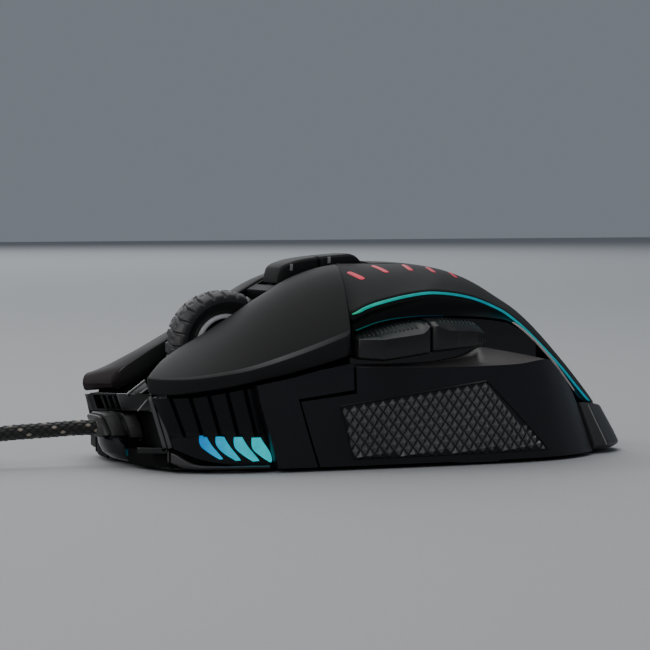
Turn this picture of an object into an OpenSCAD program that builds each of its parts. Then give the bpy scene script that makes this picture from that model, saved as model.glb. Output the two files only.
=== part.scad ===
// Wired ergonomic computer mouse, right-handed, with a removable thumb grip.
// Forward is -X, the thumb side is -Y, up is +Z. Units are millimetres.

/* [Shells] */
// Wall thickness of the top shell and the main buttons
shell_t = 1.6; // [1.4:0.1:1.8]
// Gap between neighbouring covers
seam = 0.35; // [0.3:0.05:0.4]
// Depth of the wall round the front edge of a main button
front_wall = 3.3; // [2.8:0.1:3.4]

/* [Scroll wheel] */
// Outer radius of the tyre
wheel_r = 12.2; // [11.6:0.1:12.3]
// Width of the tyre
wheel_w = 9.6; // [8.8:0.1:9.8]
// Radius of the axle
axle_r = 1.5; // [1.2:0.1:1.6]
// Running clearance on a shaft's radius
run_c = 0.05; // [0.03:0.01:0.1]

/* [Resolution and light] */
// Height of the light strip along the palm shell
strip_h = 0.8; // [0.6:0.1:1.0]
// Number of bars in the resolution indicator
bars = 5; // [1:1:5]
// Length of one indicator bar
bar_len = 4.8; // [3:0.1:5]

/* [Cable] */
// Diameter of the braided cable
cable_d = 3.2; // [3:0.1:3.4]
// Middle radius of the stored coil
coil_r = 18.2; // [17:0.1:19]
// Height of the stored coil
coil_h = 12.4; // [11:0.1:13]

/* [Feet] */
// Thickness of the glide pads
skate_t = 0.8; // [0.7:0.05:0.8]

/* [Hidden] */
e = 0.01;

// ---- smooth tables: [x, value] rows read with a cubic between them ----
function seg(x, t, i = 0) = (i >= len(t) - 2 || x < t[i + 1][0]) ? i : seg(x, t, i + 1);
function slope(t, i) = i == 0 ? (t[1][1] - t[0][1]) / (t[1][0] - t[0][0])
  : i == len(t) - 1 ? (t[i][1] - t[i - 1][1]) / (t[i][0] - t[i - 1][0])
  : (t[i + 1][1] - t[i - 1][1]) / (t[i + 1][0] - t[i - 1][0]);
function sm(xx, t) = let (x = min(max(xx, t[0][0]), t[len(t) - 1][0]), i = seg(x, t),
  h = t[i + 1][0] - t[i][0], u = (x - t[i][0]) / h, a = slope(t, i) * h, b = slope(t, i + 1) * h)
  t[i][1] * (2 * u * u * u - 3 * u * u + 1) + a * (u * u * u - 2 * u * u + u)
  + t[i + 1][1] * (3 * u * u - 2 * u * u * u) + b * (u * u * u - u * u);
function col(t, k) = [for (r = t) [r[0], r[k]]];
function mix(a, b, t) = a + (b - a) * t;
function steps(n) = [for (i = [0:n]) i / n];

// ---- edges of the top covers: x, y, z ----
LC = [[-59, -24, 20.2], [-55, -26.4, 20], [-50, -27.9, 20.1], [-44, -28.6, 20.7], [-38, -29.1, 21.6],
  [-31, -29.5, 23.4], [-24, -30, 25.6], [-15, -30.4, 28.8]];
LI = [[-50, -11, 23.3], [-47, -9.6, 24.9], [-44, -8.5, 26.3], [-39.5, -7.6, 28.5], [-35, -7.1, 31],
  [-31.5, -7, 33.1], [-28.5, -6.9, 35], [-24, -6.7, 37.5], [-20, -6.5, 39.7], [-16, -6.4, 41.2],
  [-12, -6.4, 42.3], [-7, -6.4, 43], [0, -6.4, 43.4]];
RC = [[-57, 22, 18.4], [-54, 25.4, 18.5], [-50, 28, 18.8], [-44, 30, 19.3], [-38, 31.2, 20.1],
  [-31, 32, 21.2], [-24, 32.4, 22.3], [-15, 32.6, 23.6]];
RI = [[-53, 13.5, 18.8], [-50, 11.5, 20.9], [-46, 9, 24], [-43, 7.8, 26], [-39.5, 7.3, 28.2],
  [-35, 7.1, 30.8], [-31.5, 7, 33], [-28.5, 6.9, 35], [-24, 6.7, 37.5], [-20, 6.5, 39.7],
  [-16, 6.4, 41.2], [-12, 6.4, 42.3], [-7, 6.4, 43], [0, 6.4, 43.4]];
// skirt depth below the crease of the left and right button
LSK = [[-59, 3.5], [-55, 3.4], [-50, 3], [-44, 2.9], [-38, 2.8], [-31, 3.3], [-24, 3.9], [-15, 4.7]];
RSK = [[-57, 3.3], [-50, 3.2], [-38, 3], [-15, 3]];
// crown of the palm shell, and its left and right edges
ZC = [[0, 43.4], [9, 43], [17, 41.9], [22, 40.5], [26.5, 38.5], [31, 35.7], [36, 32.3], [40.5, 28.5],
  [45, 24.4], [50, 19.3], [54.5, 14.3], [57.5, 10.6]];
LE = [[-13, -26.6, 33.2], [-10, -26.2, 34.6], [-6.5, -25.7, 35.6], [1, -24.6, 37], [7.5, -23.9, 37.5],
  [16.5, -23, 36.3], [24.5, -21.6, 33.5], [28.5, -20.8, 31.2], [32.5, -20, 28.3], [41.5, -17.7, 20.7],
  [46, -16.5, 16.3], [50.5, -15, 12.2]];
RE = [[-15, 32.6, 23.6], [-5, 32.5, 24.5], [5, 32.2, 24.5], [15, 31.2, 23.3], [25, 29.4, 21.1],
  [33, 27, 18.4], [40, 24, 15.4], [45, 21.4, 13.2], [49, 18.8, 11.6]];
// lower edge of the dark band under the light strip
LB = [[-12, -25.4, 29.1], [-6, -24.9, 30.9], [1.5, -24.4, 31.8], [9, -24.2, 31.9], [16, -24.1, 31.7],
  [21, -24, 31.3], [26, -24, 30.3], [31, -23.6, 26.9], [37, -22, 21.8], [42, -19.9, 17], [46, -18.2, 12.9]];
// plan of the left wall: station, x and y at the floor, x and y at z = 24
LW = [[0, -38, -31.4, -38, -30.2], [0.15, -28, -32.2, -28, -30.6], [0.3, -14, -32.5, -14, -30.6],
  [0.45, 0, -32.4, 0, -30.4], [0.6, 15, -32, 14, -29.9], [0.7, 26, -31.1, 24, -28.9],
  [0.8, 36, -28.6, 31.5, -26.6], [0.88, 44, -24.2, 36.4, -23.2], [0.95, 50, -18.8, 41, -18.4],
  [1, 52.5, -15, 43, -15.4]];
RW = [[0, -38, 31.2, -38, 30.6], [0.15, -28, 32.2, -28, 31.6], [0.3, -14, 33, -14, 32.2],
  [0.45, 0, 33.3, 0, 32.2], [0.6, 15, 33, 14, 31.2], [0.7, 26, 31.8, 23, 30],
  [0.8, 36, 29.4, 31, 28], [0.88, 43, 25.8, 36, 25.4], [0.95, 49, 21.2, 41.5, 22],
  [1, 52, 18.2, 44, 19.6]];
// tail plan at the floor and at z = 11
TL = [[0, 50.9, -18.1, 46.7, -17.8], [0.12, 55, -14.8, 50.8, -15], [0.25, 58.8, -11, 54.4, -11.6],
  [0.37, 61.1, -6.4, 56.8, -7], [0.5, 61.8, -0.5, 57.8, -1], [0.63, 61.2, 5.6, 57.2, 5],
  [0.75, 59, 10.8, 55, 10], [0.88, 55.4, 15, 51.4, 14.8], [1, 51.4, 18.9, 47.9, 18.5]];

// ---- surfaces ----
// main button: u runs front to rear, v from the wheel side out to the crease
function key_pt(u, v, I, O, xi0, xo0, p0, p1) = let (xi = mix(xi0, -8 - seam, u), xo = mix(xo0, -15 - seam, u),
  yi = sm(xi, col(I, 1)), zi = sm(xi, col(I, 2)), yo = sm(xo, col(O, 1)), zo = sm(xo, col(O, 2)))
  [mix(xi, xo, v), mix(yi, yo, v), zi - (zi - zo) * pow(v, mix(p0, p1, u))];
left_key = function (u, v) key_pt(u, v, LI, LC, -50, -59, 1.5, 2.3);
right_key = function (u, v) key_pt(u, v, RI, RC, -53, -57, 1.5, 2.2);
// palm shell: u front to rear, v from -1 at the left edge to 1 at the right edge
// the palm shell reaches forward to x = -8 on both sides of the spine
function palm_h(v, u, w, k) = let (a = abs(v)) mix(a < 6.4 / w ? 0 : mix(k, 1, (a - 6.4 / w) / (1 - 6.4 / w)), a * a, min(1, 6 * u));
palm = function (u, v) let (xc = mix(0.1, 57.5, u), l = v < 0, xe = l ? mix(-13.9, 50.5, u) : mix(-15, 49, u),
  ye = l ? sm(xe, col(LE, 1)) : sm(xe, col(RE, 1)), ze = l ? sm(xe, col(LE, 2)) : sm(xe, col(RE, 2)),
  w = abs(ye), zc = sm(xc, ZC), a = abs(v))
  [xc + (xe - xc) * palm_h(v, u, l ? 26.6 : 32.6, l ? 0.575 : 0.535), ye * a, zc - (zc - ze) * pow(a, l ? 2.3 : 2.2)];
// side walls: s along the wall, z up
function wall(W, s, z) = [mix(sm(s, col(W, 1)), sm(s, col(W, 3)), z / 24), mix(sm(s, col(W, 2)), sm(s, col(W, 4)), z / 24), z];
function s_of(W, x) = x < -28 ? mix(0, 0.15, (x + 38) / 10) : x < -14 ? mix(0.15, 0.3, (x + 28) / 14)
  : x < 0 ? mix(0.3, 0.45, (x + 14) / 14) : mix(0.45, 0.6, x / 14.6);

// ---- solids from surfaces ----
function grid(T, us, vs) = [for (u = us) [for (v = vs) T(u, v)]];
function flat(G) = [for (r = G) for (p = r) p];
function tris(n, m, o, f) = [for (i = [0:n - 2]) for (j = [0:m - 2])
  let (a = o + i * m + j, b = a + m, c = b + 1, d = a + 1)
  each (f ? [[a, b, c], [a, c, d]] : [[a, c, b], [a, d, c]])];
function rim(n, m) = concat([for (j = [0:m - 2]) [0, j]], [for (i = [0:n - 2]) [i, m - 1]],
  [for (j = [m - 1:-1:1]) [n - 1, j]], [for (i = [n - 1:-1:1]) [i, 0]]);
function bridge(A, B, f) = let (k = len(A)) [for (i = [0:k - 1]) let (a = A[i], b = A[(i + 1) % k], c = B[(i + 1) % k], d = B[i])
  each (f ? [[a, b, c], [a, c, d]] : [[a, c, b], [a, d, c]])];
// plate: surface G and the same surface moved by vector d
module plate(G, d, f) {
  n = len(G); m = len(G[0]); R = rim(n, m); A = [for (r = R) r[0] * m + r[1]]; B = [for (a = A) a + n * m];
  polyhedron(concat(flat(G), [for (p = flat(G)) p + d]), concat(tris(n, m, 0, !f), tris(n, m, n * m, f), bridge(A, B, !f)));
}
// cover: surface G over a lowered inner surface H, with a wall of depth D round the rim, along unit vector d
module cover(G, H, D, d, f) {
  n = len(G); m = len(G[0]); R = rim(n, m); k = len(R); N = n * m;
  A = [for (r = R) r[0] * m + r[1]]; B = [for (a = A) a + N]; C = [for (i = [0:k - 1]) 2 * N + i]; E = [for (i = [0:k - 1]) 2 * N + k + i];
  function drop(p, q) = p - d * (p * d) + d * (q * d);
  low = [for (i = [0:k - 1]) G[R[i][0]][R[i][1]] + d * D[i]];
  pts = concat(flat(G), flat(H), low, [for (i = [0:k - 1]) drop(H[R[i][0]][R[i][1]], low[i])]);
  polyhedron(pts, concat(tris(n, m, 0, !f), tris(n, m, N, f), bridge(A, C, !f), bridge(C, E, !f), bridge(E, B, !f)));
}
// loft: closed rings joined in order, ends closed
module loft(Rs, f) {
  n = len(Rs); m = len(Rs[0]);
  polyhedron([for (r = Rs) each r], concat(
    [for (i = [0:n - 2]) for (j = [0:m - 1]) let (a = i * m + j, b = i * m + (j + 1) % m, c = b + m, g = a + m)
      each (f ? [[a, b, c], [a, c, g]] : [[a, c, b], [a, g, c]])],
    [for (j = [1:m - 2]) f ? [0, j + 1, j] : [0, j, j + 1]],
    [for (j = [1:m - 2]) let (o = (n - 1) * m) f ? [o, o + j, o + j + 1] : [o, o + j + 1, o + j]]));
}

// ---- top covers ----
module key_cover(T, O, SK, us, vs, xi0, xo0, wi, f) {
  t = shell_t; G = grid(T, us, vs); n = len(us); m = len(vs);
  H = [for (u = us) [for (v = vs) T(mix(0.05, 0.985, u), mix(0.08, 0.94, v)) - [0, 0, t]]];
  R = rim(n, m);
  D = [for (r = R) let (u = us[r[0]], v = vs[r[1]], xo = mix(xo0, -15 - seam, u))
    max(t + 0.4, u == 0 ? front_wall : 0, v == 1 ? sm(xo, SK) : 0, v == 0 ? sm(mix(xi0, -8, u), wi) : 0)];
  cover(G, H, D, [0, 0, -1], f);
}
KU = steps(15);
KV = [0, 0.09, 0.2, 0.32, 0.44, 0.56, 0.68, 0.8, 0.9, 0.95, 0.985, 1];
WI = [[-53, 3.6], [-44, 4.2], [-40, 2.6], [-36, 2.2], [0, 2.2]];
module left_button() color("#2a2a2b") key_cover(left_key, LC, LSK, KU, KV, -50, -59, WI, false);
module right_button() color("#2a2a2b") key_cover(right_key, RC, RSK, KU, KV, -53, -57, WI, true);
PU = concat([0, 0.04], [for (i = [1:17]) 0.04 + 0.96 * i / 17]);
PV = [-1, -0.97, -0.9, -0.8, -0.68, -0.54, -0.38, -0.245, -0.236, -0.1, 0, 0.1, 0.19, 0.2, 0.28, 0.38, 0.52, 0.64, 0.76, 0.87, 0.95, 1];
module palm_shell() color("#2a2a2b") {
  G = grid(palm, PU, PV); t = shell_t;
  H = [for (u = PU) [for (v = PV) palm(mix(0.03, 0.97, u), v < 0 ? v * 0.93 : v * 0.94) - [0, 0, t]]];
  R = rim(len(PU), len(PV));
  cover(G, H, [for (r = R) PU[r[0]] == 1 ? 0.4 : t + 0.3], [0, 0, -1], true);
}
// dark band between the light strip and the thumb recess
module palm_band_left() color("#0c0c0e") {
  rings = [for (u = steps(22)) let (xa = mix(-12.6, 50, u), a = [xa, sm(xa, col(LE, 1)) - 0.35, sm(xa, col(LE, 2)) - 1.15],
    xb = mix(-11.9, 45.8, u), b = [xb, sm(xb, col(LB, 1)), sm(xb, col(LB, 2))], c = a + [0, 0.3, -0.35], q = b + [-0.3, 0.6, 0.3])
    [a, (a + b) / 2 + [0, -0.15, 0.1], b, q, c]];
  loft(rings, false);
}
module light_strip(E, x0, x1, sg, f) {
  rings = [for (u = steps(26)) let (x = mix(x0, x1, u), y = sm(x, col(E, 1)), z = sm(x, col(E, 2)))
    [[x, y + sg * 0.15, z - 0.1], [x, y + sg * 0.85, z - 0.3], [x, y + sg * 0.85, z - 0.3 - strip_h], [x, y + sg * 0.15, z - 0.3 - strip_h]]];
  loft(rings, f);
}
module palm_light_strip_left() color("#28d8e0") light_strip(LE, -12.4, 50.2, -1, false);
module palm_light_strip_right() color("#28d8e0") light_strip(RE, -14, 48.6, 1, true);
// wall at the back of the thumb recess
module thumb_recess_wall() color("#101012") difference() {
  translate([0, -23.3, 0]) rotate([90, 0, 0]) linear_extrude(1.2)
    polygon(concat([for (x = [-12.8, -9, -4, 2, 9, 16, 21, 25, 28, 30, 32]) [x, sm(x, col(LB, 2)) - 0.5]], [[32, 22.6], [30, 20.4], [-12.8, 20.4]]));
  for (x = [-5.5, 11]) translate([x, -20, 27.5]) rotate([90, 0, 0]) cylinder(h = 8, r = 2.3, $fn = 48);
}
// tail piece below the palm shell
function tp(s, z) = [mix(sm(s, col(TL, 1)), sm(s, col(TL, 3)), z / 11), mix(sm(s, col(TL, 2)), sm(s, col(TL, 4)), z / 11), z];
module tail_bumper() color("#3a3a3c") {
  rings = [for (s = steps(22)) let (k = 0.02, t = tp(min(s + k, 1), 5) - tp(max(s - k, 0), 5), nn = [-t[1], t[0], 0] / norm(t),
    top = mix(11.2, 10.4, s) - 1.6 * pow(sin(180 * s), 2) + 0.45)
    [tp(s, 0.9) + nn * 0.9, tp(s, 2.2), tp(s, 6), tp(s, top), tp(s, top) + nn * 1.9, tp(s, 6) + nn * 1.9, tp(s, 0.9) + nn * 2.6]];
  loft(rings, true);
}

// ---- side panels ----
GF = [[0, -22.6], [15, -26.9], [16.4, -14.1], [24, -14.1]];
function gtop(s) = sm(s, [[0.3, 22], [0.45, 22.6], [0.6, 23.4], [0.7, 23.2], [0.78, 22.4], [0.85, 21.8], [0.88, 20.4], [0.92, 16.6], [0.953, 12.6]]);
grip = function (u, v) let (z = v <= 0.6 ? mix(0.9, 15, v / 0.6) : v <= 0.64 ? mix(15, 16.4, (v - 0.6) / 0.04) : 16.4,
  xf = v <= 0.6 ? mix(-22.8, -26.9, v / 0.6) : v <= 0.64 ? mix(-26.9, -14.1, (v - 0.6) / 0.04) : -14.1,
  s = mix(s_of(LW, xf), 0.944, u), zt = gtop(s), zn = mix(mix(0.9, 15, min(v / 0.6, 1)), 16.4, v <= 0.6 ? 0 : min((v - 0.6) / 0.04, 1)),
  sq = min(1, zt / 22), zz = v <= 0.64 ? 0.9 + (zn - 0.9) * sq : mix(0.9 + 15.5 * sq, zt, (v - 0.64) / 0.36)) wall(LW, s, zz);
module side_grip_panel() color("#17171a") {
  us = [0, 0.06, 0.14, 0.22, 0.3, 0.38, 0.46, 0.54, 0.62, 0.68, 0.74, 0.79, 0.84, 0.88, 0.92, 0.96, 1];
  plate(grid(grip, us, [0, 0.1, 0.25, 0.42, 0.6, 0.64, 0.76, 0.88, 1]), [0, 2, 0], true);
}
// sloped ledge the thumb rests on, along the top of the grip panel
module thumb_shelf() color("#1d1d1f") {
  shelf = function (u, v) let (s = mix(s_of(LW, -13.6), 0.77, u), p = wall(LW, s, gtop(s)),
    zi = sm(s, [[0.3, 21.6], [0.5, 22.4], [0.58, 23.6], [0.66, 24.6], [0.74, 24.2], [0.84, 22.2]])) [p[0], mix(p[1] + 1.9, -25, v), mix(p[2] - 0.05, zi, v)];
  plate(grid(shelf, steps(12), steps(3)), [0, 0, -1.4], true);
}
module outline_pad(P, W, sg, n, o, t) {
  // P: four corners [x, z] front-top, rear-top, rear-bottom, front-bottom
  pad = function (u, v) let (q = mix(mix(P[3], P[2], u), mix(P[0], P[1], u), v), w = wall(W, s_of2(W, q[0], q[1]), q[1])) w + [0, sg * o, 0];
  plate(grid(pad, steps(n), steps(4)), [0, -sg * t, 0], sg < 0);
}
// station of a point at x, z on a wall
function s_of2(W, x, z, a = 0, b = 0.9, k = 0) = k > 22 ? (a + b) / 2 : let (c = (a + b) / 2) wall(W, c, z)[0] < x ? s_of2(W, x, z, c, b, k + 1) : s_of2(W, x, z, a, c, k + 1);
PADL = [[-17.6, 13.6], [16, 18.2], [31.2, 2.8], [-13.6, 2.3]];
PADR = [[-24, 16], [14, 18], [30, 3.2], [-19, 2.6]];
module side_grip_pad() color("#3c3a3a") outline_pad(PADL, LW, -1, 14, 0.7, 0.8);
module right_grip_pad() color("#3c3a3a") outline_pad(PADR, RW, 1, 14, 0.6, 0.7);
module front_side_panel_left() color("#1b1b20") {
  P = [[0.9, -33.2, -23.3], [7, -34.6, -25.1], [15.3, -36.2, -27.5], [16.9, -36.4, -14.7], [18.6, -36.8, -14.7]];
  T = function (u, v) let (i = min(floor(v), 4), k = v - i, a = P[i], b = P[min(i + 1, 4)], r = mix(a, b, k), x = mix(r[1], r[2], u),
    z = v <= 3 ? r[0] : mix(16.9, sm(x, [[-37, 18.2], [-30, 19.4], [-22, 21.2], [-14, 22.6]]), v - 3)) wall(LW, s_of(LW, x), z);
  plate(grid(T, steps(9), [0, 0.5, 1, 1.5, 2, 3, 3.5, 4]), [0, 2, 0], true);
}
function rtop(s) = sm(s, [[0, 16.6], [0.15, 17.8], [0.3, 20], [0.42, 21.8], [0.5, 22.1], [0.6, 21.1], [0.7, 18.9], [0.8, 15.9], [0.88, 13.2], [0.953, 10.2]]);
module right_side_panel() color("#1b1b20") {
  T = function (u, v) let (s0 = mix(0.075, 0.02, v), s = mix(s0, 0.953, u)) wall(RW, s, mix(0.9, rtop(s), v));
  plate(grid(T, steps(20), steps(6)), [0, -2, 0], false);
}
module grip_magnets() color("#b9bcc0") for (p = [[-8, 9], [20, 9]]) translate([p[0], -28.6, p[1]]) rotate([90, 0, 0]) cylinder(h = 1.6, r = 3, $fn = 48);
module grip_magnet_plates() color("#8f9297") for (p = [[-8, 9], [20, 9]]) translate([p[0], -25.6, p[1]]) rotate([90, 0, 0]) cylinder(h = 2.4, r = 3.4, $fn = 48);

// ---- front end ----
// front plan of the louvred walls
FG = [[-58.5, -22.4], [-55, -24.6], [-50, -26.5], [-44, -27.6], [-38, -28.4], [-33, -28.9]];
FIN = 4.1;
module grille(sg, f) {
  // one saw-tooth wall: five louvres, tops leaning forward
  T = function (u, v) let (top = mix(-57.6, -38.4, u), bot = mix(-53.4, -34.4, u), x = mix(bot, top, v),
    zt = sm(top, [[-58, 16.2], [-50, 15.6], [-44, 16.2], [-38, 17.2]]) - (sg > 0 ? 1.6 : 0), zb = sm(bot, [[-54, 5.6], [-48, 3], [-40, 1.6], [-34, 1.2]]),
    k = u * 5, w = k - floor(min(k, 4.999)), y = sm(x, FG) - 0.9 * (w < 0.82 ? 1 - w * 0.5 : 0) + 0.5) [x, -sg * y, mix(zb, zt, v)];
  us = concat([for (i = [0:4]) each [i / 5 + (i == 0 ? 0 : 0.006), i / 5 + 0.08, i / 5 + 0.155, i / 5 + 0.17]], [1]);
  plate(grid(T, us, steps(5)), [0, -sg * 1.4, 0], f);
}
module front_grille_left() color("#0e0e10") grille(-1, true);
module front_grille_right() color("#0e0e10") grille(1, false);
module light_guides(sg, f) for (i = [0:3]) {
  x0 = [-48.6, -44.7, -40.9, -37.2][i]; w = [1.4, 1.7, 1.7, 1.8][i];
  T = function (u, v) let (x = x0 + [4.3, 4.2, 4, 2.9][i] * pow(1 - v, 1.6) + u * w * (0.35 + 0.65 * pow(v, 0.4)), z = mix(2.7, 7.6, v)) [x, -sg * (sm(x, FG) - 1.05), z];
  plate(grid(T, [0, 0.5, 1], steps(5)), [0, -sg * 0.5, 0], f);
}
module front_light_guide_left() color("#19b9e6") light_guides(-1, true);
module front_light_guide_right() color("#19b9e6") light_guides(1, false);
// plan of the nose at half width y, and its ribbed band
NX = [[0, -59.6], [6, -59.4], [12, -58.7], [17, -57.7], [20, -56.8], [23, -55.6]];
module front_nose() color("#131315") {
  T = function (u, v) let (y = mix(-20.6, 20.6, u), k = u * 24, w = k - floor(min(k, 23.99))) [sm(abs(y), NX) + (w > 0.45 && w < 0.95 ? 0.5 : 0), y, mix(11.9, mix(15.3, 13.5, u), v)];
  us = concat([for (i = [0:23]) each [i / 24 + (i == 0 ? 0 : 0.002), i / 24 + 0.018, i / 24 + 0.02, i / 24 + 0.039]], [1]);
  plate(grid(T, us, [0, 1]), [1.8, 0, 0], false);
}
module front_bezel() color("#0c0c0d") for (sg = [-1, 1]) {
  T = function (u, v) let (y = sg * mix(6.2, 20.6, u)) [sm(abs(y), NX) + 1.2 + v * -0.2, y, mix(5.9, 11.6, v)];
  plate(grid(T, steps(6), [0, 1]), [1.6, 0, 0], sg < 0);
}
// plan of the lower front lip: station, x, y, top height, foot height
BP = [[0, -34, 31, 1.6, 0.9], [1, -40, 30.2, 1.7, 0.9], [2, -45, 28.9, 1.9, 0.9], [3, -49.5, 26.9, 2.8, 0.9], [4, -53, 24.7, 4.6, 1.6],
  [5, -55.7, 22, 5.6, 2.6], [6, -57.4, 17, 5.7, 2.8], [7, -58.4, 12, 5.7, 2.8], [8, -59, 7, 5.7, 2.8]];
module front_bumper() color("#232326") for (sg = [-1, 1]) {
  rings = [for (k = [0:0.5:8]) let (x = sm(k, col(BP, 1)), y = sm(k, col(BP, 2)), a = sm(k + 0.1, col(BP, 1)) - sm(k - 0.1, col(BP, 1)),
    b = sm(k + 0.1, col(BP, 2)) - sm(k - 0.1, col(BP, 2)), q = norm([a, b]), nx = -b / q, ny = a / q, zt = sm(k, col(BP, 3)), zb = sm(k, col(BP, 4)))
    [[x + nx * 0.8, sg * (y + ny * 0.8), zb], [x, sg * y, zb + 0.5], [x, sg * y, zt - 0.2], [x + nx * 0.5, sg * (y + ny * 0.5), zt],
     [x + nx * 2.4, sg * (y + ny * 2.4), zt - 0.3], [x + nx * 2.4, sg * (y + ny * 2.4), zb]]];
  loft(rings, sg > 0);
}
module front_chin() color("#141418") translate([0, 5.6, 0]) rotate([90, 0, 0]) linear_extrude(11.2)
  polygon([[-60.9, 4.3], [-60.2, 3.4], [-58.4, 2.2], [-56.8, 1.1], [-55.2, 0.9], [-55.2, 4.3]]);
// strain relief: three leaning ribs on a core
module cable_boot() color("#2b2b2b") {
  for (i = [0:2]) translate([0, 4.4, 0]) rotate([90, 0, 0]) linear_extrude(8.8)
    polygon([[-61.1 + i * 2.4, 11.1], [-60.6 + i * 2.4, 11.5], [-59.1 + i * 2.4, 11.5], [-58.7 + i * 2.4, 11.1], [-57.3 + i * 2.4, 5.2], [-57.7 + i * 2.4, 4.7], [-59.2 + i * 2.4, 4.7], [-59.7 + i * 2.4, 5.2]]);
  translate([-61.8, 0, 8.3]) rotate([0, 90, 0]) cylinder(h = 3, r1 = 1.9, r2 = 2.8, $fn = 48);
  translate([-59.6, -3.4, 5.4]) cube([7.6, 6.8, 5.4]);
}

// ---- main button levers, frame and hinges ----
hx = -8; hz = 30;
module key_arm(y0, y1, top) difference() {
  union() {
    translate([0, y1, 0]) rotate([90, 0, 0]) linear_extrude(y1 - y0) polygon(concat(top, [[-42.6, 14.6], [-42.6, 17.2], [-40, 19], [-30, 22], [-18, 26.5], [-10, 27]]));
    translate([hx, y1, hz]) rotate([90, 0, 0]) cylinder(h = y1 - y0, r = 3, $fn = 64);
    translate([-44, (y0 + y1) / 2, 12.4]) cylinder(h = 3, r = 0.9, $fn = 32);
  }
  translate([hx, y1 + 1, hz]) rotate([90, 0, 0]) cylinder(h = y1 - y0 + 2, r = 1 + run_c, $fn = 64);
}
module left_button_arm() color("#1d1d1f") key_arm(-16.2, -12.4, [[-8, 33], [-10, 35.4], [-14, 39.2], [-18, 38], [-22, 36.4], [-28, 33.3], [-34, 30], [-40, 26.9], [-44, 25], [-45.4, 24.4], [-45.4, 14.6]]);
module right_button_arm() color("#1d1d1f") key_arm(13, 17, [[-8, 33], [-10, 35], [-14, 38.4], [-18, 37.2], [-22, 35.7], [-28, 32.5], [-34, 29], [-40, 25.6], [-44, 23.4], [-45.4, 22.8], [-45.4, 14.6]]);
module top_frame() color("#1a1a1c") difference() {
  union() {
    translate([-3.6, -18.1, 24]) cube([3.6, 37, 5]);
    for (y = [-18.1, -12.2, 11.1, 17.2]) translate([-11, y, 26.6]) cube([8, 1.7, 6.6]);
    for (y = [-12.6, 10.6]) translate([-2, y, 22]) cube([38, 2, 2.6]);
    translate([33, -12.6, 22]) cube([3, 25.2, 2.6]);
    for (p = [[-2, -15, 38.6], [-2, 15, 37.8], [34, -11.6, 29.6], [34, 11.6, 28.8]]) translate([p[0], p[1], 2.9]) cylinder(h = p[2] - 2.9, r = 2.6, $fn = 48);
    for (y = [-3, 3]) translate([-1.8, y, 28]) cylinder(h = 5.4, r = 1.2, $fn = 32);
  }
  for (y = [-24, 8]) translate([hx, y + 16, hz]) rotate([90, 0, 0]) cylinder(h = 18, r = 1.02, $fn = 64);
  for (p = [[-2, -15], [-2, 15], [34, -11.6], [34, 11.6]]) translate([p[0], p[1], 2]) cylinder(h = 9, r = 0.95, $fn = 32);
}
module hinge_pins() color("#c8cacc") for (y = [-18, 11.2]) translate([hx, y, hz]) rotate([-90, 0, 0]) cylinder(h = 7.5, r = 1, $fn = 64);

// ---- resolution buttons ----
SP = [[-24, 37.3], [-20, 39.4], [-16, 40.9], [-12, 42], [-7, 42.7], [0, 43.1]];
module centre_spine() color("#232324") difference() {
  translate([0, 5.9, 0]) rotate([90, 0, 0]) linear_extrude(11.8)
    polygon(concat([for (x = [-24, -22, -20, -18, -16, -14, -12, -9, -6, -3, -0.3]) [x, sm(x, SP)]], [for (x = [-0.3, -3, -6, -9, -12, -14, -16, -18, -20, -22, -24]) [x, sm(x, SP) - 1.6]]));
  for (x = [-17, -5.2]) translate([x, 0, 34]) cylinder(h = 12, r = 1.8, $fn = 48);
}
module dpi_key(x0, x1, top, cx) difference() {
  union() {
    intersection() {
      translate([0, 6, 0]) rotate([90, 0, 0]) linear_extrude(12) polygon(concat(top, [for (k = [0:6]) let (x = mix(x1, x0, k / 6)) [x, sm(x, SP) + 0.8]]));
      translate([0, 0, 30]) linear_extrude(20) polygon([[x0, -2.6], [x0 + 2.8, -4.4], [x1, -4.6], [x1, 4.6], [x0 + 2.8, 4.4], [x0, 2.6]]);
    }
    translate([cx, 0, 38.1]) cylinder(h = cx < -10 ? 4.4 : 6, r = 1.3, $fn = 32);
  }
}
module dpi_up_button() color("#2c2c2d") dpi_key(-23, -11.3, [[-22.9, 41.6], [-22, 42.6], [-18, 43.5], [-11.3, 44.5]], -17);
module dpi_down_button() color("#2c2c2d") dpi_key(-10.6, -0.2, [[-10.6, 44.6], [-6, 44.9], [-2, 45], [-0.9, 44.8], [-0.3, 44.3]], -5.2);
module dpi_board() color("#1f5a34") {
  difference() {
    translate([-20.6, -5, 33.4]) cube([20.2, 10, 1.2]);
    for (y = [-3, 3]) translate([-1.8, y, 33]) cylinder(h = 2, r = 1.25, $fn = 32);
  }
  for (x = [-17, -5.2]) difference() {
    translate([x - 3, -3, 34.6]) cube([6, 6, 3.2]);
    translate([x, 0, 36.6]) cylinder(h = 2, r = 1.7, $fn = 32);
  }
}
// slanted bars set in the palm shell
module dpi_indicator_lens() color("#ff4a5c") for (i = [0:bars - 1]) {
  x0 = -6.6 + i * 5.6;
  T = function (u, v) let (x = x0 + v * 1.1 + u * bar_len * 0.72, y = -7.2 - u * bar_len * 0.62, w = min(1, max(0, (x - 0.1) / 57.4))) [x, y, 0];
  translate([0, 0, 0]) plate([for (u = [0, 0.5, 1]) [for (v = [0, 1]) let (p = T(u, v)) [p[0], p[1], roof(p[0], p[1]) + 0.05]]], [0, 0, -0.5], true);
}
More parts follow.
